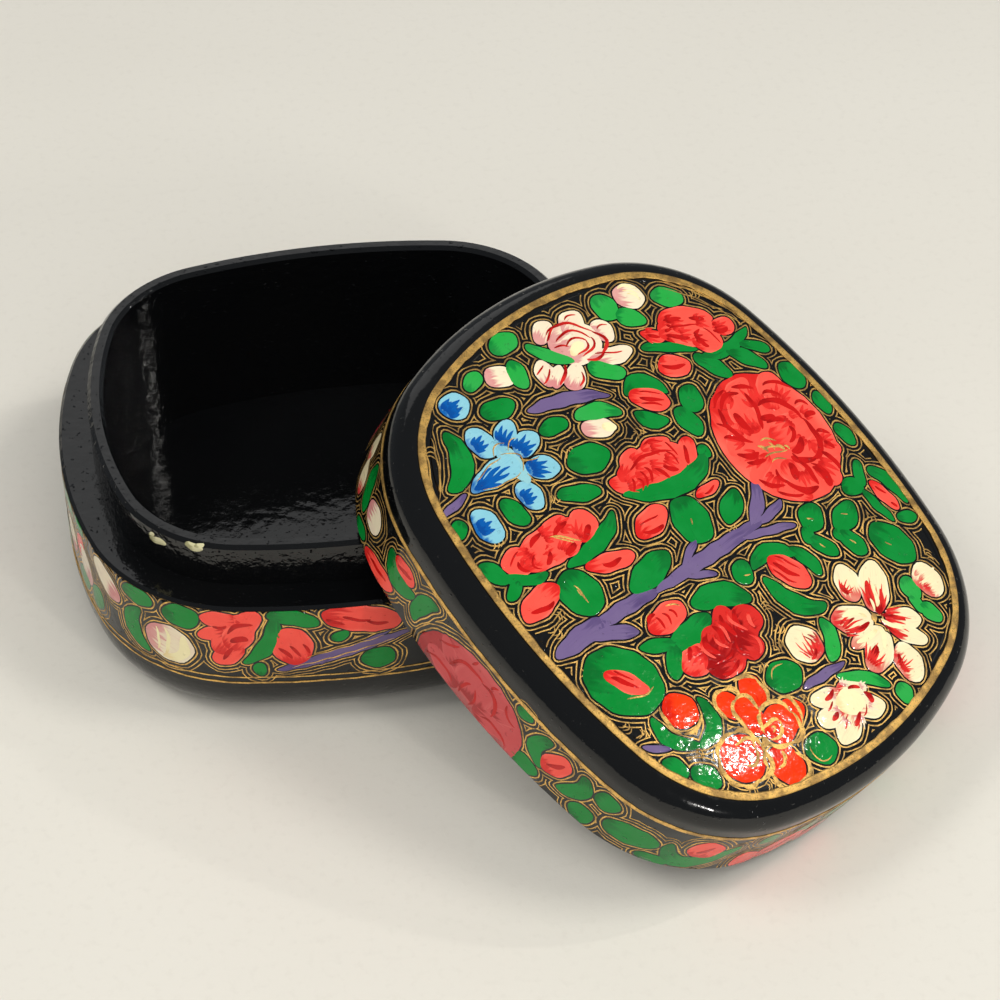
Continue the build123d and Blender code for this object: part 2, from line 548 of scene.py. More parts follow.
class Painting:
    """All the strokes on one face of the box, kept until they are laid on it."""

    def __init__(self, name, body, face, edges=()):
        self.name = name
        self.body = body
        self.face = face
        self.edges = edges
        self.start = 0.0
        self.strokes = []

    def oval(self, paint, x, y, long, wide, turn=0, bend=0.0, coat=0, outlined=True):
        """A leaf, petal or bud: its middle, half its length and width, its turn and its bend."""
        way = towards(turn)
        side = Vector((-way.y, way.x))
        middle = Vector((self.start + x, y))
        points = (middle - way * long, middle + side * bend, middle + way * long)
        self.strokes.append(Stroke(paint, points, wide, coat, 0.0, outlined))

    def band(self, paint, row, coat=0, taper=0.0, outlined=True):
        """A stem, crescent or fold: the x and y of its three points, then half its width."""
        points = [(self.start + row[place], row[place + 1]) for place in (0, 2, 4)]
        self.strokes.append(Stroke(paint, points, row[6], coat, taper, outlined))

    def ovals(self, paint, rows, **more):
        """Several ovals of one colour."""
        for row in rows:
            self.oval(paint, *row, **more)

    def bands(self, paint, rows, **more):
        """Several bands of one colour."""
        for row in rows:
            self.band(paint, row, **more)

    def feather(self, paint, x, y, turn, reach, spread, count, wide=0.24, coat=2):
        """Pointed strokes that fan out from the foot of a petal."""
        straight = towards(turn)
        side = Vector((-straight.y, straight.x))
        for step in range(count):
            aside = step / (count - 1) - 0.5
            way = towards(turn + spread * aside)
            foot = Vector((x, y)) + side * aside * reach * 0.5
            long = reach * (1 - abs(aside) * 0.7) * (0.85 + 0.3 * (step % 2))
            points = (foot, foot + way * long * 0.5, foot + way * long)
            self.strokes.append(Stroke(paint, points, wide, coat, -0.5, False))

    def folds(self, paint, rows, coat=3):
        """Fine strokes on top of a petal, which get no outline of their own."""
        self.bands(paint, rows, coat=coat, outlined=False)

    def group(self, around, flowers):
        """A group of flowers that is laid out from a start of its own."""
        self.start = around
        flowers(self)
        self.start = 0.0

    def lay(self, finishes):
        """Makes one piece of each colour and bends it onto the box."""
        colours = sorted({stroke.paint for stroke in self.strokes})
        for paint in colours:
            mesh = self.sheet()
            for number, stroke in enumerate(self.strokes):
                if stroke.paint == paint:
                    height = GROUND_COAT + COAT * stroke.coat
                    lay_stroke(mesh, stroke, 0.0, height, RELIEF, number)
            self.bend(mesh, paint, finishes[paint])
        for paint in ("gold", "ground"):
            mesh = self.sheet()
            for step, (echo, extra) in enumerate(ECHOES):
                if echo == paint:
                    self.echo(mesh, extra, ECHO_COAT * (step + 1))
            self.bend(mesh, paint + "_lines", finishes[paint])

    def echo(self, mesh, extra, height):
        """Every outlined stroke again, wider by a margin and flat."""
        for number, stroke in enumerate(self.strokes):
            if stroke.outlined:
                lay_stroke(mesh, stroke, extra, height, ECHO_RELIEF, number)

    def sheet(self):
        """An empty mesh that keeps where each point lies in its stroke."""
        mesh = bmesh.new()
        mesh.loops.layers.uv.new("stroke")
        return mesh

    def bend(self, mesh, paint, finish):
        """Cuts a flat colour off at the face's edges, bends it onto the face and makes the piece."""
        for level, outwards in self.edges:
            everything = mesh.verts[:] + mesh.edges[:] + mesh.faces[:]
            cut = bmesh.ops.bisect_plane(
                mesh, geom=everything, plane_co=(0, level, 0), plane_no=(0, outwards, 0), clear_outer=True
            )
            open_edges = [item for item in cut["geom_cut"] if isinstance(item, bmesh.types.BMEdge)]
            bmesh.ops.holes_fill(mesh, edges=open_edges, sides=0)
        for vert in mesh.verts:
            vert.co = self.face(vert.co)
        bmesh.ops.dissolve_degenerate(mesh, dist=1e-7, edges=mesh.edges[:])
        make_piece(f"{self.name}_{paint}", mesh, finish, self.body)


def make_piece(name, mesh, finish, body):
    """A piece of the box from a finished mesh."""
    bmesh.ops.recalc_face_normals(mesh, faces=mesh.faces[:])
    data = bpy.data.meshes.new(name)
    mesh.to_mesh(data)
    mesh.free()
    data.materials.append(finish)
    piece = bpy.data.objects.new(name, data)
    bpy.context.scene.collection.objects.link(piece)
    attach(piece, body)


HOOP_RADIUS = 10.0
HOOP_STEPS = 240


def hoop(segments):
    """A round ring about the origin, from a small circle spun full circle."""
    mesh = bmesh.new()
    mesh.loops.layers.uv.new("stroke")
    upright = Matrix.Translation((HOOP_RADIUS, 0, 0)) @ Matrix.Rotation(pi / 2, 4, "X")
    section = bmesh.ops.create_circle(mesh, segments=segments, radius=1.0, matrix=upright)
    ring = section["verts"] + list({edge for vert in section["verts"] for edge in vert.link_edges})
    bmesh.ops.spin(
        mesh, geom=ring, cent=(0, 0, 0), axis=(0, 0, 1), angle=2 * pi, steps=HOOP_STEPS, use_merge=True
    )
    for face in mesh.faces:
        face.smooth = True
    return mesh


def hoop_place(vert):
    """Where a point of a hoop lies: distance round the outline, and its turn in the small circle."""
    around = atan2(vert.co.y, vert.co.x) / (2 * pi) * AROUND
    return around, atan2(vert.co.z, hypot(vert.co.x, vert.co.y) - HOOP_RADIUS)


def line_round(name, body, face, middle, half, height, finish):
    """A painted line all the way round a face."""
    mesh = hoop(8)
    for vert in mesh.verts:
        around, turn = hoop_place(vert)
        rise = height + RELIEF * sin(turn) if sin(turn) > -NEARLY_FLAT else -SINK
        wobble = SWELL * sin(around * SWELL_WAVE) + QUIVER * sin(around * QUIVER_WAVE + 1)
        vert.co = face(Vector((around, middle + cos(turn) * half * (1 + wobble) + wobble * 0.5, rise)))
    make_piece(name, mesh, finish, body)


def edge_section(turn):
    """Distance inside the outline and height of a point of the lacquered edge's closed section."""
    if turn < 0:
        return VARNISH_ROOT, EDGE_CENTRE - VARNISH_FOOT - turn * VARNISH_RISE
    if turn < pi / 4:
        return -VARNISH, SKIRT_LINE + (EDGE_CENTRE - SKIRT_LINE) * turn * 4 / pi
    if turn < 3 * pi / 4:
        part = (turn - pi / 4) * 2 / pi * EDGE_TURN
        inset = LID_EDGE_ROUNDING * (1 - cos(part)) - VARNISH
        return inset, EDGE_CENTRE + LID_EDGE_ROUNDING * sin(part) + VARNISH
    inset = EDGE_END + (BORDER_INSET + VARNISH_REACH - EDGE_END) * (turn - 3 * pi / 4) * 4 / pi
    return inset, crown_height(inset) + VARNISH


def lacquered_edge(finish):
    """The varnish that gathers along the lid's upper edge and makes it tighter than the moulded one."""
    mesh = hoop(48)
    for vert in mesh.verts:
        around, turn = hoop_place(vert)
        inset, height = edge_section(turn)
        vert.co = LID_PLACE @ Vector((*beside(around, -inset), height)) * MM
    make_piece("lid_lacquered_edge", mesh, finish, "lid")


# ---------------------------------------------------------------- the lid's garden

def lid_rose(top):
    """The big coral rose, the dark folds between its petals and its gilt heart."""
    top.oval("coral", -2.9, 18.9, 9.8, 8.6, 4)
    top.ovals("coral", (
        (-8.2, 23.4, 3, 2.2, 130), (-3.4, 25, 2.2, 1.3, 80), (2, 24.2, 2.4, 1.6, 60),
        (5, 21.6, 2, 1.5, 20), (-10.6, 19, 2.6, 1.5, 100), (4, 15.2, 2.8, 1.3, -140),
        (-5.6, 13.6, 2.8, 1.3, -60), (-0.8, 13.4, 2.8, 1.2, -70), (-7.6, 17.2, 3, 2.1, 170),
        (2.7, 17.1, 2.6, 1.8, 0), (-2.4, 21.8, 4.2, 2.4, 90),
    ), coat=1)
    for row in (
        (-7.4, 20, 165, 3.4, 60, 5, 0.34), (-6.6, 23.6, 120, 2.6, 70, 5, 0.26),
        (-3, 24.9, 95, 2, 60, 4, 0.24), (1.2, 24.4, 70, 2.2, 70, 5, 0.26),
        (3, 21.2, 20, 3.4, 50, 5, 0.36), (2.6, 18.4, -10, 2.6, 60, 5, 0.3),
        (-5, 16.6, 185, 3, 50, 5, 0.3), (-5, 14.6, -125, 2.8, 60, 6, 0.24),
        (-2.2, 14.4, -100, 2.8, 50, 5, 0.26), (1.2, 14.6, -65, 2.6, 60, 5, 0.24),
        (-3.6, 22.6, -80, 2.6, 70, 5, 0.26), (-0.6, 22.6, -70, 2.2, 50, 4, 0.26),
        (-10.8, 17.6, -80, 2.6, 40, 4, 0.24),
    ):
        top.feather("petal_shade", *row)
    top.folds("deep_red", (
        (-7.5, 20, -6.5, 23.3, -2.6, 24.5, 0.44), (-2.9, 24.5, 1.3, 23.9, 2.2, 20.9, 0.49),
        (2.3, 21.6, 1.7, 19.7, 0.2, 18.6, 0.51), (-4.9, 19.3, -4.8, 20.9, -3.9, 21.7, 0.41),
        (-3, 21.8, -1.8, 21.5, -1.3, 20, 0.37), (-5.9, 18.6, -5.5, 20, -4.9, 21, 0.55),
        (-1, 22, 0.1, 20.8, -0.3, 19.3, 0.61), (-9.9, 19.6, -7.4, 19.5, -4.6, 17.9, 0.37),
        (-10.3, 19, -10.9, 16.6, -9.6, 14.8, 0.37), (-10.2, 14.7, -7, 13.9, -4, 15.3, 0.39),
        (-8.4, 16.4, -7, 16, -5.4, 16.6, 0.61), (0.1, 19, 3, 19.4, 5.4, 18.9, 0.37),
        (5.5, 18.9, 4.9, 16.6, 2.3, 15.2, 0.49), (0.9, 17.5, 2.2, 17.4, 3.1, 16.6, 0.67),
        (0.4, 15.2, 1.8, 14.9, 3, 15.4, 0.3), (-9.2, 22.9, -9, 24.9, -6.8, 26.7, 0.27),
        (-8.4, 22.1, -8.1, 23.4, -6.9, 24.2, 0.32), (-4.8, 25, -4.9, 26.2, -3.9, 27, 0.24),
        (-2.6, 24.9, -2.9, 26, -2.4, 26.9, 0.41), (-0.3, 24.9, -0.2, 25.7, 0.8, 26.4, 0.32),
        (1.2, 24.6, 1.9, 25.2, 2.7, 25.1, 0.37), (2.2, 22.9, 3.7, 23.8, 5.4, 23.5, 0.41),
        (3, 20.2, 4.8, 21, 6.4, 20.2, 0.67), (2.4, 20.4, 3.8, 21.2, 5, 21.6, 0.24),
        (-3.9, 12, -2.8, 13.3, -2.4, 15, 0.44), (-2.4, 12.4, -1.6, 13.6, -1.2, 15, 0.37),
        (0.2, 11.9, 1.9, 13, 2.9, 14.7, 0.34), (3, 13, 4.4, 14.4, 5.2, 16, 0.27),
        (-6.6, 12, -6, 13.2, -4.6, 14.6, 0.29), (-8.6, 12.8, -7.6, 13.6, -6.4, 14, 0.24),
        (-11.8, 17.4, -11.4, 15.6, -10.4, 14.2, 0.27), (-11.4, 18.6, -10.8, 20.2, -9.6, 21.4, 0.32),
    ))
    top.folds("gold", (
        (-3.6, 16.4, -3.3, 17.6, -2.4, 18.4, 0.14), (-2.6, 15.6, -2.2, 17, -1.4, 18.8, 0.16),
        (-1.6, 15.2, -1.3, 16.8, -0.6, 18.9, 0.14), (-0.4, 15.6, -0.5, 16.8, 0.2, 17.8, 0.13),
        (-3.2, 15.4, -2.6, 16, -1.8, 16.2, 0.24), (-1.9, 18, -1.4, 18.4, -0.8, 18.4, 0.28),
        (-1.4, 18.8, -1.1, 19.2, -0.6, 19.3, 0.16), (-2.8, 17.2, -2.2, 17.4, -1.5, 17.3, 0.14),
    ), coat=5)


def lid_top_left(top):
    """The coral spray on its green stem, the pink bud and the leaves round them."""
    top.ovals("coral", ((-18.8, 24.8, 1.9, 1.35, 75), (-22.7, 14.4, 1.8, 0.9, 50)))
    top.oval("coral", -20.8, 19.8, 4.6, 2.7, 60)
    top.band("coral", (-23.7, 16.6, -22.9, 20.4, -20.4, 24.4, 1.5))
    top.oval("coral", -18.3, 20.9, 2.3, 1.8, 62, coat=1)
    top.band("coral", (-22.3, 15.2, -20.9, 18.5, -18.7, 21.4, 1.5), coat=1)
    for x, y, turn in (
        (-22.6, 18, 60), (-20.9, 17.9, 60), (-21.4, 21.6, 60), (-18.9, 23.6, 75), (-23.4, 13.6, 50),
    ):
        top.feather("petal_shade", x, y, turn, 2.2, 60, 5, 0.22)
    top.feather("deep_red", -23.4, 17.6, 62, 2.4, 30, 3)
    top.feather("deep_red", -21.9, 16.2, 55, 2.2, 40, 3, coat=3)
    top.feather("deep_red", -19.6, 19.7, 60, 1.9, 70, 4, coat=3)
    top.feather("deep_red", -19.1, 23.4, 75, 1.6, 60, 3)
    top.band("coral", (-19.4, 11.9, -18, 13.6, -17.2, 16.1, 1.7))
    top.folds("deep_red", (
        (-18.9, 22.9, -18.4, 23.9, -18.3, 25.2, 0.4), (-19.6, 20.2, -18.4, 20, -17.6, 20.6, 0.35),
        (-19.9, 21.7, -18.6, 22.4, -17, 22.3, 0.14), (-22.3, 17.3, -21.9, 19.2, -20.6, 21.6, 0.16),
        (-23.6, 17.4, -23.3, 18.8, -22.6, 20.2, 0.3), (-22.2, 21, -21.5, 22.2, -20.8, 23.2, 0.34),
        (-21.4, 16.6, -20.6, 17.6, -19.8, 19, 0.3), (-23.3, 13.8, -22.7, 14.5, -22, 15.2, 0.28),
        (-18.8, 12.2, -17.8, 13.7, -17.2, 15.4, 0.34),
    ))
    top.ovals("shoot", (
        (-26.1, 20.8, 2.4, 1.55, 56), (-29.3, 11.6, 2.1, 1.85, -12), (-26.4, 13.6, 2.2, 1.4, 50),
    ))
    top.bands("leaf", (
        (-22.3, 11.5, -20.7, 14.6, -18.1, 18.7, 0.72), (-17, 18.2, -15.9, 22.6, -17, 27.9, 0.85),
        (-15.6, 24.8, -14.2, 26.9, -12.6, 28.4, 0.85), (-15.8, 22.2, -13.6, 24.3, -11, 25.8, 1.15),
        (-17.6, 17.4, -15.2, 18.8, -12.6, 20.1, 1.2),
    ))
    top.oval("blush", -28.9, 15.9, 2.3, 1.95, 60, coat=1)
    top.folds("ivory", (
        (-30.6, 15.2, -30.3, 16.8, -28.9, 17.9, 0.26), (-29.2, 15.9, -28.6, 16.8, -27.6, 17, 0.16),
        (-29.9, 15.6, -29.4, 16.8, -28.4, 17.4, 0.14),
    ))


def lid_left(top):
    """The cream peony with its green leaf, the violet stroke and the buds down the left side."""
    top.ovals("blush", (
        (-29.9, 5.6, 2.2, 1.7, 110), (-30.9, 1.1, 2, 1.35, 115), (-26.9, 8.7, 1.5, 1.8, 90),
        (-27.4, 3.9, 3.9, 3.2, 80),
    ))
    top.band("blush", (-24.7, 3.6, -23.5, 6.9, -22.8, 10.3, 1.3))
    top.ovals("blush", (
        (-26.9, 4, 2.6, 2, 90), (-23.7, 0.2, 2.2, 1.45, 120), (-26.2, -3, 1.9, 1.45, 160),
        (-25, -1.9, 1.9, 1, 125),
    ), coat=1)
    top.oval("ivory", -26.7, 3.5, 1.4, 0.75, 100, coat=3)
    top.folds("crimson", (
        (-27.6, 7.2, -25.6, 8, -24.2, 5.9, 0.28), (-24.3, 6.4, -24.1, 5, -24.9, 3.6, 0.22),
        (-30.3, 1, -30.4, 4.6, -27.4, 7.3, 0.2), (-28.8, 1.6, -29.2, 4.4, -27, 6.4, 0.19),
        (-27.1, 6.4, -25.8, 5.8, -25.4, 3.4, 0.19), (-27.7, 2.2, -28, 4.4, -26.8, 5.5, 0.17),
        (-26.9, 5.5, -26.1, 4.9, -25.9, 2.8, 0.17), (-29.6, 0.6, -30.2, 1.8, -30.6, 3, 0.17),
        (-28.4, 0.8, -28, 2, -27.4, 2.6, 0.15), (-25.9, 0.2, -24.6, -0.9, -23.9, -2.4, 0.26),
        (-26.3, -2.1, -25.6, -3, -25.2, -4.3, 0.17), (-23.9, 1.5, -22.8, 1.1, -22.4, -0.2, 0.16),
        (-27.2, -2.4, -26.8, -3.2, -26.6, -4.2, 0.13), (-24.9, 5.2, -24, 7, -23.2, 8.8, 0.14),
        (-27.4, 8, -27.6, 8.9, -27.2, 9.8, 0.12), (-30.6, 5, -31, 6, -30.6, 7, 0.13),
    ), coat=4)
    top.bands("shoot", (
        (-30.6, -2.3, -28.2, -1, -25.4, 1.8, 0.95), (-24.2, 2.9, -22.4, 4.5, -20.6, 7, 1.3),
        (-16.7, 2.1, -18.6, -0.6, -19.3, -4.2, 1.15),
    ), coat=3)
    top.oval("blush", -16.7, -2.3, 2.5, 1.35, 68)
    top.oval("ivory", -16, -0.9, 1, 0.7, 60, coat=1)
    top.ovals("shoot", (
        (-32.4, -4.8, 2.3, 1.5, 90), (-28, -6.4, 2.1, 1.35, -15), (-30.3, -12.3, 1.8, 1.05, 110),
    ), coat=1)
    top.oval("blush", -29, -8.8, 2.1, 1.6, 70)
    top.ovals("leaf", (
        (-25.6, -12.3, 2.6, 1.4, 80), (-20, -7.5, 2.3, 1.1, 82), (-14.2, -6.6, 3.2, 2, 78),
        (-13.2, 12.3, 2.1, 1.65, -35), (-11, 9.6, 2.4, 1.5, 10),
    ))
    top.band("violet", (-19.4, 2.5, -21.7, -2.2, -23.3, -9, 0.9), taper=0.25)


def lid_ringed_bud(top):
    """The coral bud in its green ring, left of the middle."""
    top.bands("leaf", (
        (-18.2, 4.6, -18.8, 7.8, -15.4, 10.1, 1.1), (-15.9, 3.9, -13.8, 4.9, -12.7, 7.2, 1.15),
    ))
    top.oval("coral", -16.1, 7.1, 2.9, 1.65, 50, coat=1)
    top.folds("deep_red", (
        (-17, 5.8, -16.2, 7, -14.9, 8.8, 0.3), (-16.3, 5.6, -15.6, 6.8, -14.4, 8, 0.18),
        (-17.6, 6.6, -16.9, 7.8, -15.8, 9, 0.14),
    ))


def lid_middle(top):
    """The tall coral peony with its crescent leaf, and the slim buds and the leaves left of the tree."""
    top.ovals("coral", ((-10.8, -2, 2.2, 1.45, 120), (-9.1, -5, 2, 1.3, 62), (-10.9, 2.8, 2.3, 1.15, 78)))
    top.band("coral", (-9.7, 7.4, -8.1, 6.4, -6.2, 4.8, 1.25))
    top.oval("coral", -9, 0.3, 5.6, 2.7, 84)
    top.oval("coral", -8, 1.2, 4.2, 2.3, 84, coat=1)
    for x, y, turn in (
        (-10.6, -1.8, 80), (-11.2, 2, 60), (-8.6, -4.8, 80), (-9, 0, 50), (-8.8, 2.4, 40),
    ):
        top.feather("petal_shade", x, y, turn, 2.4, 60, 5, 0.22)
    top.folds("deep_red", (
        (-8.8, 6.3, -7.6, 5.6, -6.6, 5, 0.36), (-10, -2.8, -10.5, 0.6, -9, 4.3, 0.24),
        (-8.2, 1.6, -7.2, 2.2, -6.6, 3.2, 0.34), (-8.6, 0.2, -7.4, 1, -6.4, 1.2, 0.28),
        (-9.4, -1, -8.4, -0.6, -7.2, -1.4, 0.24), (-9.2, -1.8, -8.2, -1.6, -7, -2.6, 0.18),
        (-8.6, -2.9, -7.8, -2.6, -7, -3.4, 0.16), (-9, -3.6, -8.2, -3.8, -7.6, -4.6, 0.22),
        (-11.8, 1.4, -11.6, 2.8, -10.8, 4.1, 0.18), (-10.6, 4.2, -9.4, 4.6, -8.2, 4.4, 0.16),
        (-9.6, 3.4, -8.4, 3.9, -7.2, 3.8, 0.16),
    ))
    top.band("leaf", (-6.7, 8.5, -5, 2, -8, -6.2, 1.35), coat=2)
    top.oval("leaf", -6.7, 8.2, 1, 0.9, 0, coat=2)
    top.ovals("coral", (
        (-2.5, 4.6, 2.2, 0.75, 88), (-3.3, -5.6, 3.1, 1.7, 100), (-2.2, -14.3, 3.7, 1.25, 74),
        (-3.2, -26, 3.5, 1.7, -80),
    ))
    top.folds("deep_red", (
        (-2.2, -4.4, -2, -5.8, -2.9, -7.6, 0.34), (-3.6, -4, -3.6, -5.6, -3.9, -7.2, 0.14),
        (-1.8, -12.6, -1.9, -14.3, -2.5, -15.6, 0.36), (-2.4, -24.4, -2.2, -26.2, -2.9, -28, 0.34),
        (-2.3, 3.6, -2.2, 4.6, -2.4, 5.8, 0.18),
    ))
    top.ovals("leaf", (
        (-0.6, -0.6, 3.4, 2.7, -12), (1, 5.7, 2.7, 1.45, -62), (1.6, -10.8, 4.1, 1.8, -80),
        (-11.3, -11.2, 3.1, 1.15, 66), (-1.3, -20.8, 3.2, 2.85, 10),
    ))


def lid_lower_peony(top):
    """The second tall peony, lower down, its crescent leaf and the leaves at its foot."""
    top.ovals("coral", (
        (-7.8, -14, 2.3, 2, 120), (-8.6, -24.7, 2.4, 1.9, -100), (-8.1, -19.6, 5.8, 2.5, 90),
    ))
    for x, y, turn in (
        (-7, -15.6, 120), (-9.6, -19.8, 80), (-6.4, -18.8, 110), (-8.6, -22.6, -90), (-9.4, -17, 70),
    ):
        top.feather("petal_shade", x, y, turn, 2.4, 60, 5, 0.24)
    top.ovals("coral", (
        (-9, -18, 2.8, 1.7, 110), (-7.2, -18.6, 3, 1.7, 80), (-8.2, -21.2, 2.3, 2.2, 100),
    ), coat=1)
    top.folds("deep_red", (
        (-7.4, -13.2, -6.8, -14.2, -6.3, -15.2, 0.45), (-9.4, -15.4, -9.2, -17, -8.6, -18.4, 0.36),
        (-6.8, -16.6, -6.2, -17.6, -6.1, -18.9, 0.42), (-10, -19.6, -9.8, -21, -9.1, -22.2, 0.34),
        (-7.6, -20.4, -6.8, -21, -6.3, -21.8, 0.36), (-8.2, -22.4, -7.2, -23.4, -6.2, -22.8, 0.16),
        (-8.8, -24.8, -7.8, -25, -6.9, -24.4, 0.28), (-9.6, -23.8, -9.4, -25, -8.8, -26, 0.14),
    ))
    top.folds("gold", (
        (-9, -19, -7.8, -17.2, -6.4, -15.6, 0.14), (-8.6, -18.6, -7.6, -17.4, -6.8, -16.8, 0.12),
    ), coat=5)
    top.band("leaf", (-7.1, -9.2, -5.1, -13.4, -4.7, -19.9, 1.05), coat=2)
    top.bands("leaf", (
        (-5.5, -22.6, -6.2, -25.4, -8.6, -28.2, 0.8), (-6.8, -26.6, -6.2, -27.6, -5.6, -29.3, 0.85),
    ), coat=1)
    top.oval("leaf", -9.2, -28.4, 2.1, 1.15, 22, coat=1)


def lid_tree(top):
    """The violet tree that climbs from the border to the rose, with its shoots."""
    top.bands("violet", (
        (4.6, 8.2, 4.3, -1, 3.9, -12.4, 1), (4, -11.6, 3.3, -17.2, 3.2, -23.2, 0.95),
        (3.1, -20.5, 3, -24.6, 3.3, -29.3, 1.3), (0.1, 10.9, 2.3, 9.6, 4.4, 6, 0.95),
        (3.9, 12.6, 4.6, 10, 4.5, 6.4, 0.62), (7.6, 11.6, 6.5, 8.6, 5, 3.6, 0.58),
        (1.7, -2.1, 2.5, -4, 3.7, -6.8, 0.5), (6.6, -3, 5.8, -4.7, 4.7, -7, 0.45),
        (6.7, -17.9, 5, -20.6, 3.4, -24.6, 0.95),
    ))


def lid_right_of_tree(top):
    """The ringed coral bud, the bud on its leaf and the crimson rose, to the right of the tree."""
    top.bands("leaf", (
        (9, 1.6, 8.2, 5.4, 10.8, 8.6, 1.1), (9.6, 8.2, 12, 9.4, 14.5, 9.4, 1.05),
        (17.8, 6.9, 15.5, 3.3, 10.4, 2.2, 1.3), (11.8, -1.8, 8.9, -4.8, 8.2, -9.4, 1.7),
        (9.8, -8.2, 10.5, -12, 10.2, -15.8, 1.55), (10.3, -14.6, 9.4, -17, 8.2, -19.4, 0.95),
        (10.4, -14.9, 12, -16.7, 13.9, -18.4, 1.15),
    ))
    top.oval("leaf", 8.4, 0.1, 1.7, 1.5, -40)
    top.ovals("coral", ((11.8, 5.9, 3.2, 1.95, 26), (7.3, -13.4, 3.3, 1.75, 94)), coat=1)
    top.folds("deep_red", (
        (9.6, 4.8, 11.2, 5.4, 13.2, 6.6, 0.36), (9.2, 5.6, 10.6, 6.6, 12.4, 7.4, 0.18),
        (10.2, 4.2, 12, 4.6, 13.6, 5.6, 0.18), (6.6, -12.4, 7.2, -12, 8, -12.3, 0.18),
        (6.4, -13.6, 7.2, -13.2, 8.2, -13.5, 0.18), (6.4, -14.8, 7.2, -14.4, 8.2, -14.7, 0.2),
        (6, -14.4, 6, -15.4, 6.8, -16, 0.3),
    ))
    top.folds("gold", ((6, -12.4, 6.3, -11.4, 7.1, -10.8, 0.12),), coat=5)
    top.ovals("crimson", (
        (13.4, -4.9, 2.9, 2.2, 95), (16.2, -11, 2.9, 1.6, 80), (14.2, -8.6, 5.4, 3, 100),
    ))
    top.oval("coral", 13.5, -14.2, 2.5, 1.95, 100)
    top.feather("petal_shade", 13.2, -12.6, -90, 2.6, 70, 6, 0.24)
    top.ovals("crimson", (
        (15.8, -6.6, 2.2, 2, 30), (12.2, -7.2, 2.5, 1.9, 150), (13.2, -10.2, 2.6, 2, 120),
    ), coat=1)
    top.folds("deep_red", (
        (11.4, -4.8, 12.4, -5.6, 14.2, -6, 0.42), (10.8, -7, 12.4, -7.4, 14.2, -7, 0.4),
        (11.4, -9, 12.8, -8.8, 14, -9.4, 0.4), (11.8, -10.8, 13, -11.6, 14.6, -10.8, 0.55),
        (16.6, -9.2, 17.2, -10.8, 16.8, -12.6, 0.34), (11.8, -13.6, 12.4, -14.4, 13, -15.2, 0.34),
        (14.2, -7.4, 15.6, -8.2, 17, -7.4, 0.2), (15, -8.6, 15.6, -10.4, 15.2, -12.4, 0.16),
    ))
    top.folds("coral", (
        (11.2, -8.2, 12.8, -8.1, 14.4, -8.4, 0.22), (12.2, -9.8, 13.6, -9.9, 14.8, -9.2, 0.2),
        (11, -5.9, 12.6, -6.2, 14.4, -5.2, 0.24), (14.8, -5.6, 16.4, -5, 17.6, -6.2, 0.22),
        (16.4, -8.8, 17.6, -10.4, 17.2, -12.6, 0.2), (12, -11.6, 13.2, -12.4, 14.8, -11.6, 0.22),
        (12.6, -3.4, 13.4, -4, 14.6, -4, 0.3),
    ), coat=5)


def lid_top_right(top):
    """The leaves by the upper border, the coral bud between them, and two white buds further down."""
    top.ovals("leaf", (
        (-8.3, 28.3, 2.2, 1.75, 0), (-3.1, 29.2, 1.8, 1.15, 0), (2, 28.5, 1.9, 1.1, 8),
        (8.1, 23.2, 1.7, 1.35, 80), (15.4, 27.1, 1.6, 0.9, 66), (16.9, 22, 3.6, 2.55, 20),
        (10.6, 18.8, 2.6, 1.65, -72), (13.8, 17, 2.3, 1.35, 12), (8.1, 14.4, 2.2, 1.75, -55),
        (11.9, 12.9, 2.2, 1.15, 28), (9.7, 12.1, 1.2, 1, -20), (12, 16.2, 1, 0.9, 0),
    ))
    top.bands("leaf", (
        (7.5, 27.1, 10.2, 28.9, 14, 28.9, 1.15), (5.8, 26.9, 6.9, 25.8, 9, 24.6, 0.85),
        (9.2, 24.3, 11.8, 24.3, 14.8, 24.9, 0.7),
    ))
    top.oval("coral", 11.5, 26.5, 2.6, 1.05, 8, coat=1)
    top.folds("deep_red", (
        (9.8, 26.3, 10.6, 26.6, 11.4, 26.9, 0.22), (12.6, 26.6, 13.1, 26.7, 13.6, 26.8, 0.24),
    ))
    top.ovals("shoot", (
        (22.8, 19.2, 1.8, 1.35, -12), (26.7, 19.3, 1.8, 1.15, 22), (24.8, 18.4, 1.4, 0.8, 0),
    ))
    top.oval("cream", 23.5, 22.5, 2.1, 2.6, 98, bend=0.1)
    top.folds("cream", (
        (21.9, 21.2, 21.9, 22.6, 22.4, 24, 0.42), (22.8, 21.1, 22.7, 22.8, 22.7, 24.7, 0.42),
        (23.8, 21, 23.8, 22.6, 23.6, 24.2, 0.42), (24.7, 21.2, 25, 22.4, 24.8, 23.6, 0.42),
    ), coat=2)
    top.oval("cream", 20, 0.1, 2.6, 2.5, 215, coat=1)
    top.folds("crimson", (
        (19.2, 1.4, 20.2, 1.9, 21.2, 1.2, 0.14), (19, 0.8, 20.4, 1.2, 21.6, 0.4, 0.14),
        (19.6, 2.2, 20.4, 2.3, 21, 2, 0.12), (21.2, 0.9, 21.8, 0.2, 22, -0.7, 0.26),
    ))
    top.feather("petal_shade", 21.9, 0.1, 165, 3, 80, 7, 0.13)


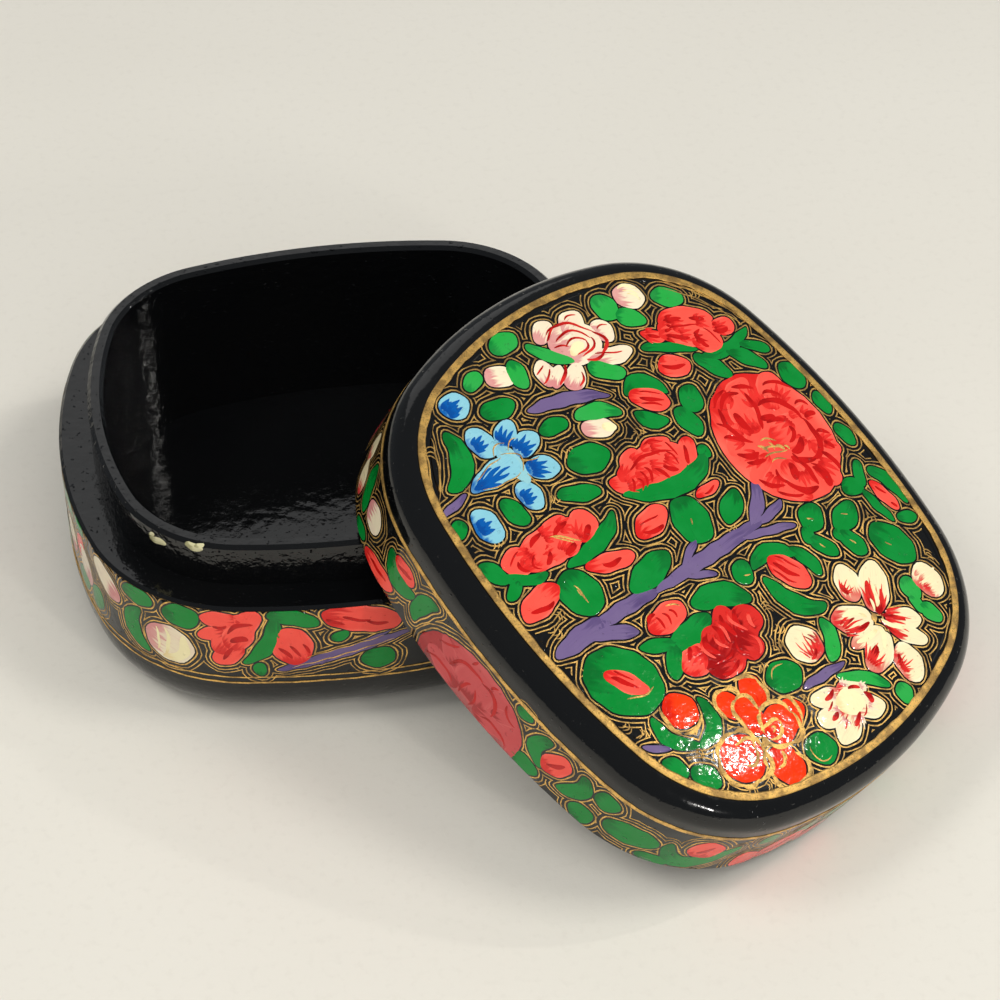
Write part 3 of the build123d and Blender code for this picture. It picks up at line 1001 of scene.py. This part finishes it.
def lid_white_flower(top):
    """The white flower with red-streaked petals on the right."""
    top.ovals("cream", (
        (19.8, 14.7, 3.7, 2.15, 137), (25.2, 15, 2.7, 1.5, 58), (27.2, 14, 2.7, 1.25, 42),
        (17.4, 11.8, 2.6, 1.85, 155), (29.8, 11.1, 2.1, 2.7, 75), (21.3, 8.5, 3.1, 1.95, 62),
        (26.5, 8.4, 3.2, 1.95, 112),
    ))
    top.oval("cream", 24.2, 8.4, 2.9, 1.1, 85, coat=1)
    for row in (
        (22, 12.8, 141, 3.8, 40, 6, 0.17), (23.8, 12.8, 50, 3.6, 50, 6, 0.17),
        (17.9, 10.3, 105, 1.9, 60, 6, 0.12), (29.6, 9.4, 82, 2.2, 50, 7, 0.12),
        (21.7, 6.3, 78, 3.2, 40, 6, 0.15), (26.8, 6.1, 104, 3.2, 44, 6, 0.15),
    ):
        top.feather("petal_shade", *row)
    top.folds("crimson", (
        (22.6, 12.3, 20.6, 13, 18.6, 14.4, 0.5), (22.9, 12.2, 22.2, 13.6, 20.4, 15.2, 0.4),
        (23.2, 12.4, 24.2, 14, 25.6, 15, 0.34), (23.6, 12, 25.6, 12.4, 27.2, 13.6, 0.4),
        (18.6, 10.8, 17.8, 10.6, 17, 11, 0.42), (28.2, 10.5, 29.4, 10, 30.8, 10, 0.4),
        (23, 10.4, 22.8, 8.6, 22.4, 6.6, 0.36), (25.6, 8.8, 26.2, 7.6, 26.6, 6.4, 0.5),
        (21.4, 9, 21.2, 7.8, 21.4, 6.8, 0.2),
    ), coat=2)
    top.folds("ivory", (
        (22, 12.8, 21, 13.9, 19.4, 14.6, 0.3), (22.3, 12.2, 21.4, 12.6, 20.6, 12.9, 0.2),
        (23.4, 12, 25, 12.9, 26.4, 14.3, 0.34), (24, 11, 25.4, 10.6, 26.6, 9.4, 0.4),
        (24.3, 10.4, 24.2, 8.6, 24, 6.4, 0.4), (22.2, 10.6, 20.8, 9.4, 20.2, 7.4, 0.45),
    ), coat=4)
    top.oval("gold", 22.8, 11.3, 0.5, 0.5, coat=5, outlined=False)
    top.oval("shoot", 32.3, 7.4, 1.4, 1.25)
    top.bands("shoot", ((18.8, 4.7, 21.6, 3.9, 23.7, 1.4, 1.1), (30.5, 6.2, 28, 4.2, 25.6, 0.6, 0.85)))
    top.band("violet", (24.8, 3, 24.4, -0.6, 24.1, -4.6, 0.62), taper=0.15)


def lid_tulip(top):
    """The white tulip on the right, its streaked petals and the two leaves under it."""
    top.ovals("cream", (
        (30.7, 1.4, 2.6, 1.6, 60), (31.1, -2.8, 2.7, 1.7, -70), (26.9, -2.6, 2.5, 1.4, -110),
        (28.9, -4, 2.2, 1.4, -95), (27.7, 1.2, 2.2, 1.1, 60),
    ))
    top.oval("ivory", 28.9, -0.3, 2.1, 1.75, 70, coat=2)
    for x, y, turn, reach in (
        (28.2, 2.4, 70, 1.6), (30.4, 1.8, 40, 2), (31, -0.6, -40, 2.2), (30.2, -2.4, -70, 2.2),
        (28.8, -2.4, -95, 2.2), (26.9, -1.4, -105, 2.4), (26.8, 0.4, 110, 1.6),
    ):
        top.feather("blush", x, y, turn, reach * 0.8, 60, 5, 0.16)
    top.folds("crimson", (
        (29, 2.2, 30, 2.7, 30.6, 2.2, 0.42), (27.6, 0.6, 27.8, 1.6, 28.3, 2.2, 0.28),
        (30.7, 0, 31.1, -1, 31.6, -2, 0.34), (26.4, -1.2, 26.8, -2.2, 26.9, -3.2, 0.34),
        (28.8, -2.8, 29.2, -3.4, 29.4, -4.2, 0.36), (30.4, 1.4, 31, 0.8, 31.2, 0, 0.12),
        (30, -2.2, 30.6, -2.8, 31, -3.6, 0.14), (27.6, -2.4, 27.9, -3.2, 28, -4, 0.14),
    ), coat=3)
    top.ovals("leaf", ((21.5, -5.6, 2.7, 2.1, 78), (31, -8.3, 2.3, 2, 60)))


def lid_orange_flower(top):
    """The orange flower with gilt rims at the lower right, and its bud between green leaves."""
    top.ovals("orange", (
        (25.4, -9, 2.7, 1.9, 90), (20.6, -10.9, 2.4, 1.8, 150), (20.3, -14.7, 2.1, 1.7, 200),
        (29.9, -13.8, 2.8, 2.3, 8), (26, -18.2, 3.1, 3, -88),
    ))
    top.ovals("orange", ((25.6, -10.9, 2.7, 2.4, 100), (22.7, -13.3, 2.7, 1.5, 165)), coat=2)
    top.oval("orange", 17, -20.8, 2.4, 2.3, 45)
    top.folds("gold", (
        (23.2, -12.3, 22.9, -9.4, 25.6, -8.3, 0.32), (25.4, -8.3, 28.2, -9, 28, -11.8, 0.32),
        (28.1, -11.4, 27.8, -13, 26.4, -13.8, 0.32), (23.2, -12, 23.8, -12.9, 25.4, -13.4, 0.29),
        (20.2, -13.8, 20.4, -12, 23, -11.9, 0.32), (20.2, -13.6, 21.2, -15, 24.6, -14.9, 0.32),
        (18.3, -14.4, 18.7, -12.9, 20, -12.6, 0.29), (18.3, -14.4, 18.6, -16.2, 21.4, -16.4, 0.32),
        (18.3, -12, 18.4, -10.2, 19.8, -9.2, 0.29), (19.6, -9.2, 21.6, -9.2, 22.9, -10.2, 0.29),
        (22.9, -8.6, 24.6, -7, 27.4, -8.2, 0.26), (29.2, -11.7, 31.8, -11.3, 32.4, -13.6, 0.32),
        (32.4, -13.4, 31.9, -16.2, 28.6, -16.2, 0.32), (28.6, -16.2, 27.6, -15.8, 27, -14.9, 0.29),
        (28.3, -13.4, 29.4, -13.8, 29.5, -15, 0.22), (28.2, -13.3, 28.8, -13.1, 29.4, -13.4, 0.22),
        (23.2, -17, 23.6, -15.4, 26, -15.1, 0.32), (26, -15.1, 29, -15.8, 29.2, -18.4, 0.35),
        (23, -17, 22.8, -19.4, 24.2, -20.9, 0.32), (24.2, -20.9, 26.6, -21.8, 28.6, -20.6, 0.32),
        (29.2, -18.2, 29.2, -19.8, 28.2, -20.8, 0.32), (24.2, -18, 24.6, -15.8, 26, -16, 0.26),
        (25.9, -15.9, 27.4, -17, 26.8, -18.6, 0.26), (24.9, -13.6, 24.6, -11.4, 25.3, -10.6, 0.26),
        (25.3, -10.6, 26.6, -11.4, 26.3, -13.4, 0.26), (25.2, -12.2, 25.6, -11.6, 25.9, -12.4, 0.16),
        (25.4, -14, 26.2, -14.3, 26.4, -15, 0.48), (15.2, -22.8, 17.2, -23.4, 19.3, -22.9, 0.29),
        (19.5, -22.6, 19.8, -20.4, 18.8, -18.8, 0.26),
    ), coat=5)
    top.bands("leaf", (
        (17, -17.7, 20.9, -18.5, 21.6, -22, 1.05), (21.5, -21.6, 19, -24.6, 15.6, -24.5, 0.95),
    ))
    top.ovals("leaf", ((25, -24, 2, 1.6, 32), (21.9, -26.5, 1.8, 1.2, 28)))
    top.band("violet", (20, -25.3, 18.8, -26.7, 17.6, -28.2, 0.45))


def lid_low_ringed_bud(top):
    """The coral bud on its big round leaf, near the lower border."""
    top.oval("leaf", 10.2, -24.3, 5.2, 4.3, 38)
    top.oval("coral", 10.5, -24.1, 3, 1.3, 33, coat=2)
    top.folds("deep_red", (
        (8.8, -25.4, 10.2, -24.4, 12, -23.4, 0.32), (8.6, -24.6, 9.6, -23.8, 10.8, -23.2, 0.16),
    ), coat=4)
    top.folds("gold", ((12.9, -21.6, 12.9, -23.6, 12.1, -25.6, 0.12),), coat=5)


def blue_petals(top, petals, foot, spread, count, fine):
    """Blue ovals, each with dark strokes that fan out from its foot."""
    for x, y, long, wide, turn in petals:
        top.oval("sky", x, y, long, wide, turn)
        back = towards(turn) * long * foot
        top.feather("sea", x - back.x, y - back.y, turn, long * 1.25, spread, count, fine)


def lid_blue_flower(top):
    """The blue flower with feathered dark bases, its two buds, its stem and the leaves round them."""
    blue_petals(top, (
        (-22.5, -13.9, 2.1, 1.5, 118), (-20.1, -12.5, 2.3, 1.5, 100), (-16.5, -12.9, 2.4, 1.6, 66),
        (-23.2, -17.6, 1.8, 2.3, 92), (-14.5, -17.1, 1.7, 2.1, 88),
    ), 0.72, 40, 5, 0.3)
    top.oval("mist", -19.2, -15.9, 3.4, 1.3, 0, outlined=False)
    top.band("sky", (-18.8, -23.3, -19, -19.4, -18.8, -15, 1.6), coat=1, taper=0.35)
    top.folds("sea", (
        (-18.8, -22.9, -19.1, -20.6, -19.6, -17.6, 0.34),
        (-18.8, -22.9, -18.5, -20.8, -18.2, -17.2, 0.34), (-18.8, -22.6, -19.6, -20.9, -20, -18.9, 0.26),
        (-18.8, -22.6, -18.1, -20.9, -17.7, -19.2, 0.26),
        (-18.9, -22.9, -18.8, -20.2, -18.9, -16.6, 0.26),
    ))
    blue_petals(top, ((-28.9, -16.9, 2.1, 1.85, 96), (-14.3, -24.8, 1.8, 2.5, 84)), 0.75, 34, 6, 0.34)
    top.folds("gold", (
        (-21.6, -15, -21.9, -16.6, -20.9, -17.6, 0.09), (-20.6, -16.6, -19.4, -14.4, -17.4, -15.6, 0.09),
        (-21.3, -13, -21.4, -14.2, -20.6, -15.4, 0.08), (-18.5, -14.8, -18, -13.4, -18, -12.2, 0.08),
        (-16.9, -15.4, -16, -15.2, -15.2, -15.2, 0.08), (-17.5, -16, -17.4, -18.8, -18.2, -22, 0.09),
        (-20.4, -16.8, -20.2, -19.2, -19.5, -21.8, 0.09),
    ), coat=5)
    top.band("leaf", (-26.9, -20.8, -22.4, -21.6, -20.3, -25.7, 1.45))
    top.ovals("leaf", ((-13.8, -20.5, 2.2, 1.4, 14), (-15.9, -28.2, 1.3, 1.05, -60)))
    top.band("violet", (-18.9, -24.2, -18.6, -26.5, -18.3, -28.9, 0.5))


def lid_scrolls(top):
    """Gold scribbles that fill the black corners, and the dashes in the hearts of some leaves."""
    corners = (
        (0.6, -27.2, 20), (-0.6, -25.4, 100), (16.4, -27, 60), (14.4, -28.2, 10), (25.2, -5.6, 30),
        (16.4, -1.6, 40), (18.2, -3.4, 100), (19, -7.4, 70), (13.8, -0.6, 160), (30.4, -17.8, 80),
        (29.6, -20.4, 50), (22.4, -22.6, 120), (-12, -25.6, 70), (-25.4, -24.2, 140), (-12.6, -15, 60),
        (6.6, -27.8, 60), (-19.4, 11.2, 80), (-11.4, 15.4, 110), (-13.4, 2, 90), (-16.2, -8.6, 80),
        (3.4, 3, 90), (12.6, 21.6, 40), (21.2, 25.4, 150), (27.6, 23.4, 130), (-24.6, 24.6, 40),
    )
    for x, y, turn in corners:
        way = towards(turn)
        side = Vector((-way.y, way.x))
        heart = Vector((x, y))
        for step in (-1, 0, 1):
            foot = heart + way * step * 0.55 - side * 0.6
            tip = heart + way * (step * 0.55 + 0.2) + side * 0.6
            bend = heart + way * (step * 0.55 + 0.5)
            top.band("gold", (*foot, *bend, *tip, 0.09), coat=-1, outlined=False)
    dashes = (
        (10.3, 18.9, 60), (8.2, 14.2, 50), (13.8, 17, 20), (11.8, 12.8, 20), (16.6, 21.4, 30),
        (-1.3, -20.9, 8), (-0.4, -0.8, 150), (9, 0.4, 60),
    )
    for x, y, turn in dashes:
        top.oval("gold", x, y, 0.5, 0.1, turn, coat=1, outlined=False)
    top.folds("gold", (
        (-2.6, -20.9, -1.2, -20.7, 0.2, -20.9, 0.13), (20.1, -4.4, 20, -6, 20.9, -7.3, 0.1),
        (29.9, -9.4, 32, -9.6, 32.4, -7.6, 0.1), (-27.2, -22.6, -23.6, -24.6, -19.8, -27.8, 0.11),
        (-27.6, -23.4, -24, -25.8, -20.4, -28.4, 0.1), (-28.4, 21.6, -23.4, 26, -17.6, 28.4, 0.1),
        (-27.6, 21, -22.6, 25.4, -17.2, 27.6, 0.09), (-26.8, 23.8, -22, 27, -15.6, 29.2, 0.09),
        (27.8, 22.4, 29.6, 19.8, 31.2, 16.4, 0.09), (28.6, 22.2, 30.4, 19.4, 31.8, 16, 0.1),
    ), coat=2)


def paint_lid_top(finishes):
    """The whole of the lid's top."""
    top = Painting("top", "lid", on_lid_top)
    for flowers in (
        lid_tree, lid_rose, lid_top_left, lid_left, lid_ringed_bud, lid_middle, lid_lower_peony,
        lid_right_of_tree, lid_top_right, lid_white_flower, lid_tulip, lid_orange_flower,
        lid_low_ringed_bud, lid_blue_flower, lid_scrolls,
    ):
        flowers(top)
    top.lay(finishes)
    gold = finishes["gold"]
    line_round("top_gold_border", "lid", on_lid_border, BORDER_INSET, BORDER_HALF, BORDER_COAT, gold)


# ---------------------------------------------------------------- the lid's skirt

def skirt_rose(side):
    """Half of a big rose, its coral darkened as painted shade, cut off by the skirt's rim, counted from
    the group's middle.
    """
    # The rose's coral is darkened here as painted shade on the skirt
    side.oval("madder", 0, 2, 9.2, 7)
    side.ovals("madder", (
        (-4.6, 2.2, 3.2, 1.6, 170), (4.6, 2.2, 3.2, 1.6, 10), (0, 4.4, 2.6, 3.2, 90),
        (-5.2, 5.2, 2.2, 1.2, 140), (5.2, 5.2, 2.2, 1.2, 40),
    ), coat=1)
    side.folds("deep_red", (
        (-4.2, 3.6, -2.6, 6.4, 0.6, 6.6, 0.3), (0.4, 6.6, 3.2, 6, 3.8, 3.2, 0.3),
        (-1, 1.4, -1.2, 3.2, -0.4, 4.6, 0.22), (0.9, 1.2, 1, 3, 0.4, 4.4, 0.2),
        (-7.4, 1.2, -5, 2.4, -2.6, 1.6, 0.22), (2.8, 1.6, 5, 2.4, 7.4, 1.2, 0.22),
        (-6.8, 5.4, -5.4, 6.2, -4.6, 7.6, 0.2), (4.4, 7.4, 5.2, 6, 7, 5.4, 0.2),
        (-2, 7.4, -1.6, 8, -1.4, 8.6, 0.2), (1.8, 7.2, 2, 7.8, 2.6, 8.2, 0.2),
    ))


def skirt_seen(side):
    """The flowers on the part of the skirt that faces the camera."""
    side.group(178.5, skirt_rose)
    side.bands("leaf", (
        (169, 8.6, 167, 6.2, 167.2, 2.6, 1.2), (159.5, 7.4, 162.2, 4.4, 165.5, 6, 1.35),
        (149.2, 9, 149.8, 6, 152, 2.8, 1.3), (190.2, 9, 188.6, 6.2, 190.8, 3.4, 1.15),
        (195.4, 8.6, 196.2, 5.6, 193.6, 2.9, 1.25), (208.8, 6.2, 212, 2.2, 217.6, 7.4, 1.5),
    ))
    side.ovals("leaf", (
        (185.2, 9, 1.3, 0.9, 0), (189, 1.6, 2.1, 1.5, 0), (199.4, 7.5, 1.7, 1.7, 0),
        (204.2, 4.4, 3.7, 2.1, 8), (198, 2.1, 1.8, 1.7, 60), (208.4, 1.2, 2.2, 1.2, 0),
        (153.4, 1.3, 1.8, 0.9, 10), (221.4, 8, 1.6, 1.2, -30),
    ))
    side.ovals("coral", (
        (162.6, 7, 2.2, 1.25, -6), (192, 6.1, 2.6, 1.75, 66), (213.4, 6.3, 2.3, 2.2, 70),
        (159.4, 1.6, 3.5, 1.4, 8), (220.6, 2.2, 2.6, 1.9, 110), (225.6, 3.4, 3.6, 2.3, 20),
        (231.6, 2, 3.4, 1.7, -10),
    ), coat=1)
    side.oval("blush", 154.2, 5.6, 2.2, 2, 8)
    side.ovals("cream", ((147.2, 3.4, 2.4, 1.4, 130), (144.6, 6.4, 2.2, 1.4, 100)))
    side.folds("deep_red", (
        (161.2, 6.6, 162.6, 6.8, 164, 7.4, 0.3), (191, 5, 192, 5.8, 193, 7.4, 0.34),
        (212.4, 5.2, 213.4, 6, 214.2, 7.4, 0.3), (223.6, 2.6, 225.6, 3.2, 227.6, 4.4, 0.32),
        (229.4, 2, 231.6, 2.4, 233.8, 1.8, 0.28), (157.6, 1.4, 159.4, 1.8, 161.4, 2, 0.26),
    ))


def skirt_bud_group(side):
    """A coral bud, a pink one and their leaves, counted from the bud: thirty millimetres of skirt."""
    side.bands("leaf", (
        (-2.6, 7.6, -3.2, 4.6, -0.6, 2.4, 0.8), (2.4, 7.8, 3.2, 5, 1.2, 2.4, 0.8),
        (13, 2, 15.6, 3.2, 16.4, 7.2, 1.1),
    ))
    side.ovals("leaf", (
        (-6.6, 7.2, 2.2, 1.5, 20), (-6.4, 2.6, 2.4, 1.6, -25), (7, 7.4, 2.3, 1.4, -20),
        (6.4, 2.8, 2, 1.6, 30), (11.2, 8, 1.8, 1.1, 10), (-11.4, 5.6, 2.4, 1.7, 70),
    ))
    side.oval("coral", 0, 5.6, 2.4, 1.6, 80, coat=1)
    side.oval("blush", 11.4, 4.4, 2.2, 1.9, 120)
    side.folds("deep_red", ((-0.4, 4.4, 0, 5.6, 0.3, 7, 0.3),))


def paint_lid_skirt(finishes):
    """The skirt's painting: the side that shows, and roses and buds by turns round the rest."""
    side = Painting("skirt", "lid", on_lid_skirt, ((SKIRT_LOW, -1),))
    skirt_seen(side)
    for around in (0.0, 54.0, 108.0):
        side.group(around, skirt_bud_group)
    for around in (29.0, 83.0, 131.0):
        side.group(around, skirt_rose)
    side.lay(finishes)
    gold = finishes["gold"]
    line_round("skirt_gold_line", "lid", on_lid_skirt, SKIRT_LINE, SKIRT_LINE_HALF, SKIRT_LINE_COAT, gold)


# ---------------------------------------------------------------- the base's band

def band_seen(side):
    """The flowers on the part of the base that faces the camera."""
    side.ovals("blush", ((141, 18, 3.4, 2, 140), (134, 14.6, 3, 2.2, 120), (151.6, 13.3, 3.5, 3.2, -20)))
    side.folds("ivory", (
        (150.6, 10.6, 153.4, 12, 153.6, 15.4, 0.8), (149.8, 11.4, 150.2, 13.4, 149.8, 15.6, 0.2),
        (150.8, 11, 151.6, 13.4, 151.2, 16, 0.3),
    ))
    side.ovals("leaf", (
        (147.2, 19.6, 2.5, 1.5, 0), (153.6, 19, 2.5, 2, 0), (178.4, 11.5, 2.2, 1.8, 0),
        (163.4, 10.7, 1.2, 0.85, 90), (173.6, 16.1, 1.3, 0.8, 30), (137.8, 12, 2.4, 1.6, 60),
        (184.4, 18.4, 2.6, 1.7, 40),
    ))
    side.bands("leaf", (
        (147.4, 17.4, 145.8, 13.6, 148.4, 10.2, 1.35), (165.2, 20.2, 164.8, 15.6, 161.4, 11.8, 1.2),
        (164.6, 20, 167.6, 20, 171, 18.2, 1.35),
    ), coat=1)
    side.ovals("coral", (
        (160.2, 16.8, 4, 2.6, 65), (158.8, 19.4, 2.6, 1.5, 175), (157.6, 16.9, 1.9, 1.2, 200),
        (159.5, 13.4, 2.4, 1.7, 228), (162, 19, 2.4, 1.7, 60), (176.4, 18.9, 5.2, 2.3, -14),
    ))
    side.ovals("coral", ((160.9, 16.6, 2.6, 1.9, 60), (167.6, 14.7, 3.4, 2.6, 100)), coat=1)
    side.folds("deep_red", (
        (159.6, 17, 160.8, 18.6, 162.8, 18.6, 0.36), (160, 15.6, 161, 16.2, 162.2, 15.8, 0.55),
        (157.8, 18.2, 158.8, 18, 159.6, 18.6, 0.26), (158.8, 12.4, 159.4, 13.6, 160.2, 14.4, 0.34),
        (165.9, 14.6, 166.8, 13.6, 167.4, 12.4, 0.3), (167.2, 14.8, 168, 14, 168.6, 12.8, 0.24),
        (168.8, 15, 169.4, 14.2, 169.8, 13.4, 0.24), (172, 19.4, 173, 18.6, 174.2, 18.2, 0.3),
        (174, 19.6, 175.6, 18.8, 177.6, 18.4, 0.26), (177, 18.4, 178.4, 17.8, 179.8, 17.6, 0.3),
    ))
    side.bands("violet", (
        (165.6, 10.4, 173.4, 12.9, 182.6, 15.8, 0.85), (171, 11.2, 175, 13.8, 180, 16.2, 0.3),
    ))
    side.folds("gold", (
        (167.4, 10.9, 173.6, 12.6, 180.4, 14.6, 0.09), (169.4, 12.6, 174, 14, 179.2, 15.4, 0.08),
    ))


def band_rose_group(side):
    """A coral rose with its buds and leaves, counted from the rose: forty millimetres of band."""
    side.oval("coral", 0, 14.6, 5, 4.4)
    side.ovals("coral", (
        (-2.4, 14, 2, 1.5, 180), (2.4, 14, 2, 1.5, 0), (0, 16.4, 1.7, 2, 90), (0, 12.2, 1.5, 1.7, -90),
    ), coat=1)
    side.folds("deep_red", (
        (-3, 15.4, 0, 18.2, 3, 15.4, 0.24), (-2.8, 12.8, -1, 13.2, -0.6, 14.6, 0.22),
        (2.8, 12.8, 1, 13.2, 0.6, 14.6, 0.22), (-1.4, 10.8, 0, 11.6, 1.4, 10.8, 0.22),
        (-4.2, 13.6, -3.9, 15.4, -3, 16.8, 0.2), (4.2, 13.6, 3.9, 15.4, 3, 16.8, 0.2),
    ))
    side.ovals("leaf", (
        (-7.6, 18.6, 2.5, 1.6, -20), (7.4, 18.4, 2.5, 1.6, 20), (-7.4, 11, 2.3, 1.6, 30),
        (7.6, 11.2, 2.3, 1.6, -30), (17.2, 11.2, 2.4, 1.6, 20), (12, 19.8, 2.4, 1.3, 0),
        (17.2, 20.4, 1.8, 1.2, 0),
    ))
    side.oval("cream", 12.2, 14.6, 2.6, 2.3, 110)
    side.oval("blush", -10.6, 15.4, 2.4, 1.9, 70)
    side.oval("coral", 17, 16.6, 2.3, 1.6, 70)
    side.band("violet", (-14, 10.2, -14.8, 15, -16.4, 20.4, 0.7))


def paint_base_band(finishes):
    """The base's painting: the side that shows, and rose groups round the rest."""
    side = Painting("band", "base", on_base_wall, ((BAND_LOW, -1), (BAND_HIGH, 1)))
    band_seen(side)
    for around in (205.0, 3.0, 40.5, 78.0, 115.5):
        side.group(around, band_rose_group)
    side.lay(finishes)
    for name, level, half in BAND_LINES:
        line_round(name, "base", on_base_wall, level, half, BAND_LINE_COAT, finishes["gold"])


def paint_chips(finishes):
    """Two flakes of ivory paint, each with a crumb beside it, on the front of the collar's outer face."""
    chips = Painting("chips", "base", on_collar)
    chips.ovals("flake", (
        (147.7, 26, 1.7, 0.6, 6), (154.2, 27.2, 1.5, 0.6, -4),
        (146.4, 26.5, 0.7, 0.35, 30), (155.2, 27.6, 0.8, 0.3, 8),
    ), outlined=False)
    mesh = chips.sheet()
    for number, stroke in enumerate(chips.strokes):
        lay_stroke(mesh, stroke, 0.0, FLAKE_COAT, FLAKE_RELIEF, number)
    chips.bend(mesh, "flakes", finishes["flake"])


# ---------------------------------------------------------------- studio

# Half the sheet's width, in metres
FLOOR_HALF = 3.0


def make_floor():
    """A wide pale sheet under the box."""
    finish = Finish("pale_floor")
    place = finish.place()
    clouds = finish.noise(place, 9.0, 3.0)
    fibres = finish.noise(place, 700.0, 3.0, 0.6)
    body = finish.blend(clouds, colour(214, 209, 199), colour(224, 220, 211))
    body = finish.blend(finish.ease(fibres, 0.5, 0.75) * 0.15, body, colour(196, 190, 180))
    material = finish.finished(
        {"Base Color": body, "Roughness": 0.6, "Normal": finish.bumps(fibres, 0.00003)}
    )
    mesh = bmesh.new()
    bmesh.ops.create_grid(mesh, x_segments=2, y_segments=2, size=FLOOR_HALF)
    data = bpy.data.meshes.new("floor")
    mesh.to_mesh(data)
    mesh.free()
    data.materials.append(material)
    floor = bpy.data.objects.new("floor", data)
    bpy.context.scene.collection.objects.link(floor)


ROOM_TINT = (0.88, 0.94, 1.0, 1.0)
ROOM_STRENGTH = 0.2
DAYLIGHT = (1.0, 0.99, 0.95)
LAMPLIGHT = (1.0, 0.97, 0.92)

# Each lamp's name, its place, aim and size in metres, its power in watts, its tint, and whether it shows
# in the lacquer
LAMPS = (
    ("ceiling", (0.0, -0.45, 0.95), (0, 0, 0), (0.9, 0.7), 2.7, DAYLIGHT, False),
    ("window", (0.55, -0.2, 0.8), (0, 0, 0), (0.25, 0.25), 3.0, DAYLIGHT, False),
    ("left_window", (-0.5, -0.05, 0.7), (0, 0, 0), (0.25, 0.25), 1.9, DAYLIGHT, False),
    ("front", (0.0, -0.85, 0.78), (0, 0, 0), (1.2, 0.8), 4.9, (1.0, 0.99, 0.96), False),
    ("glint", (0.537, -0.03, 0.507), (0.037, -0.065, 0.02), (0.012, 0.026), 0.45, LAMPLIGHT, True),
    ("edge_glint", (0.33, -0.62, 0.33), (0.03, -0.08, 0.01), (0.03, 0.07), 0.7, LAMPLIGHT, True),
    ("wall", (0.0, 1.1, 0.95), (0, 0, 0.02), (1.0, 0.8), 1.6, (1.0, 0.99, 0.97), True),
)


def add_lamp(name, place, aim, size, power, tint, mirrored):
    """A soft rectangular lamp, turned to a point, that shows in the lacquer or doesn't."""
    data = bpy.data.lights.new(name, "AREA")
    data.shape = "RECTANGLE"
    data.size, data.size_y = size
    data.energy = power
    data.color = tint
    lamp = bpy.data.objects.new(name, data)
    bpy.context.scene.collection.objects.link(lamp)
    lamp.location = place
    lamp.rotation_euler = (Vector(aim) - Vector(place)).to_track_quat("-Z", "Y").to_euler()
    lamp.visible_glossy = mirrored


def light_the_room():
    """Soft light from above, two windows and the front, two glints on the lid, and a pale wall behind."""
    world = bpy.data.worlds.new("room")
    bpy.context.scene.world = world
    world.use_nodes = True
    backdrop = world.node_tree.nodes["Background"]
    backdrop.inputs["Color"].default_value = ROOM_TINT
    backdrop.inputs["Strength"].default_value = ROOM_STRENGTH
    for lamp in LAMPS:
        add_lamp(*lamp)


# The camera's place in millimetres, its turns in radians, its lens and its film's width in millimetres,
# and in metres the nearest and the farthest that it sees
CAMERA_PLACE = (-31.935, -261.649, 259.521)
CAMERA_YAW = 0.1997
CAMERA_PITCH = 0.7651
CAMERA_ROLL = -0.0185
CAMERA_LENS = 95.82
CAMERA_FILM = 36.0
NEAREST_SEEN = 0.01
FARTHEST_SEEN = 20.0


def set_camera():
    """The photograph's viewpoint."""
    reach = cos(CAMERA_PITCH)
    forward = Vector((sin(CAMERA_YAW) * reach, cos(CAMERA_YAW) * reach, -sin(CAMERA_PITCH)))
    level = Vector((cos(CAMERA_YAW), -sin(CAMERA_YAW), 0))
    down = forward.cross(level)
    right = level * cos(CAMERA_ROLL) + down * sin(CAMERA_ROLL)
    up = level * sin(CAMERA_ROLL) - down * cos(CAMERA_ROLL)
    data = bpy.data.cameras.new("view")
    data.sensor_width = CAMERA_FILM
    data.lens = CAMERA_LENS
    data.clip_start = NEAREST_SEEN
    data.clip_end = FARTHEST_SEEN
    camera = bpy.data.objects.new("view", data)
    bpy.context.scene.collection.objects.link(camera)
    turned = Matrix((right, up, -forward)).transposed().to_4x4()
    camera.matrix_world = Matrix.Translation(Vector(CAMERA_PLACE) * MM) @ turned
    bpy.context.scene.camera = camera


# ---------------------------------------------------------------- all together

def coat_the_shells():
    """Gives each moulded piece its lacquer, and lays the varnish along the lid's edge."""
    lacquered_edge(lacquer("edge_lacquer"))
    shells = {
        "base_shell": lacquer("base_lacquer", lumps=0.00016, specks=0.00005),
        "collar": lacquer("collar_lacquer", lumps=0.00022, specks=0.00012, shine=0.12),
        "lid_shell": lacquer("lid_lacquer"),
    }
    for name, finish in shells.items():
        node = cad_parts[name]
        node.data.materials.clear()
        node.data.materials.append(finish)


coat_the_shells()
colours = paints()
paint_lid_top(colours)
paint_lid_skirt(colours)
paint_base_band(colours)
paint_chips(colours)
make_floor()
light_the_room()
set_camera()
bpy.context.scene.view_settings.view_transform = "Standard"
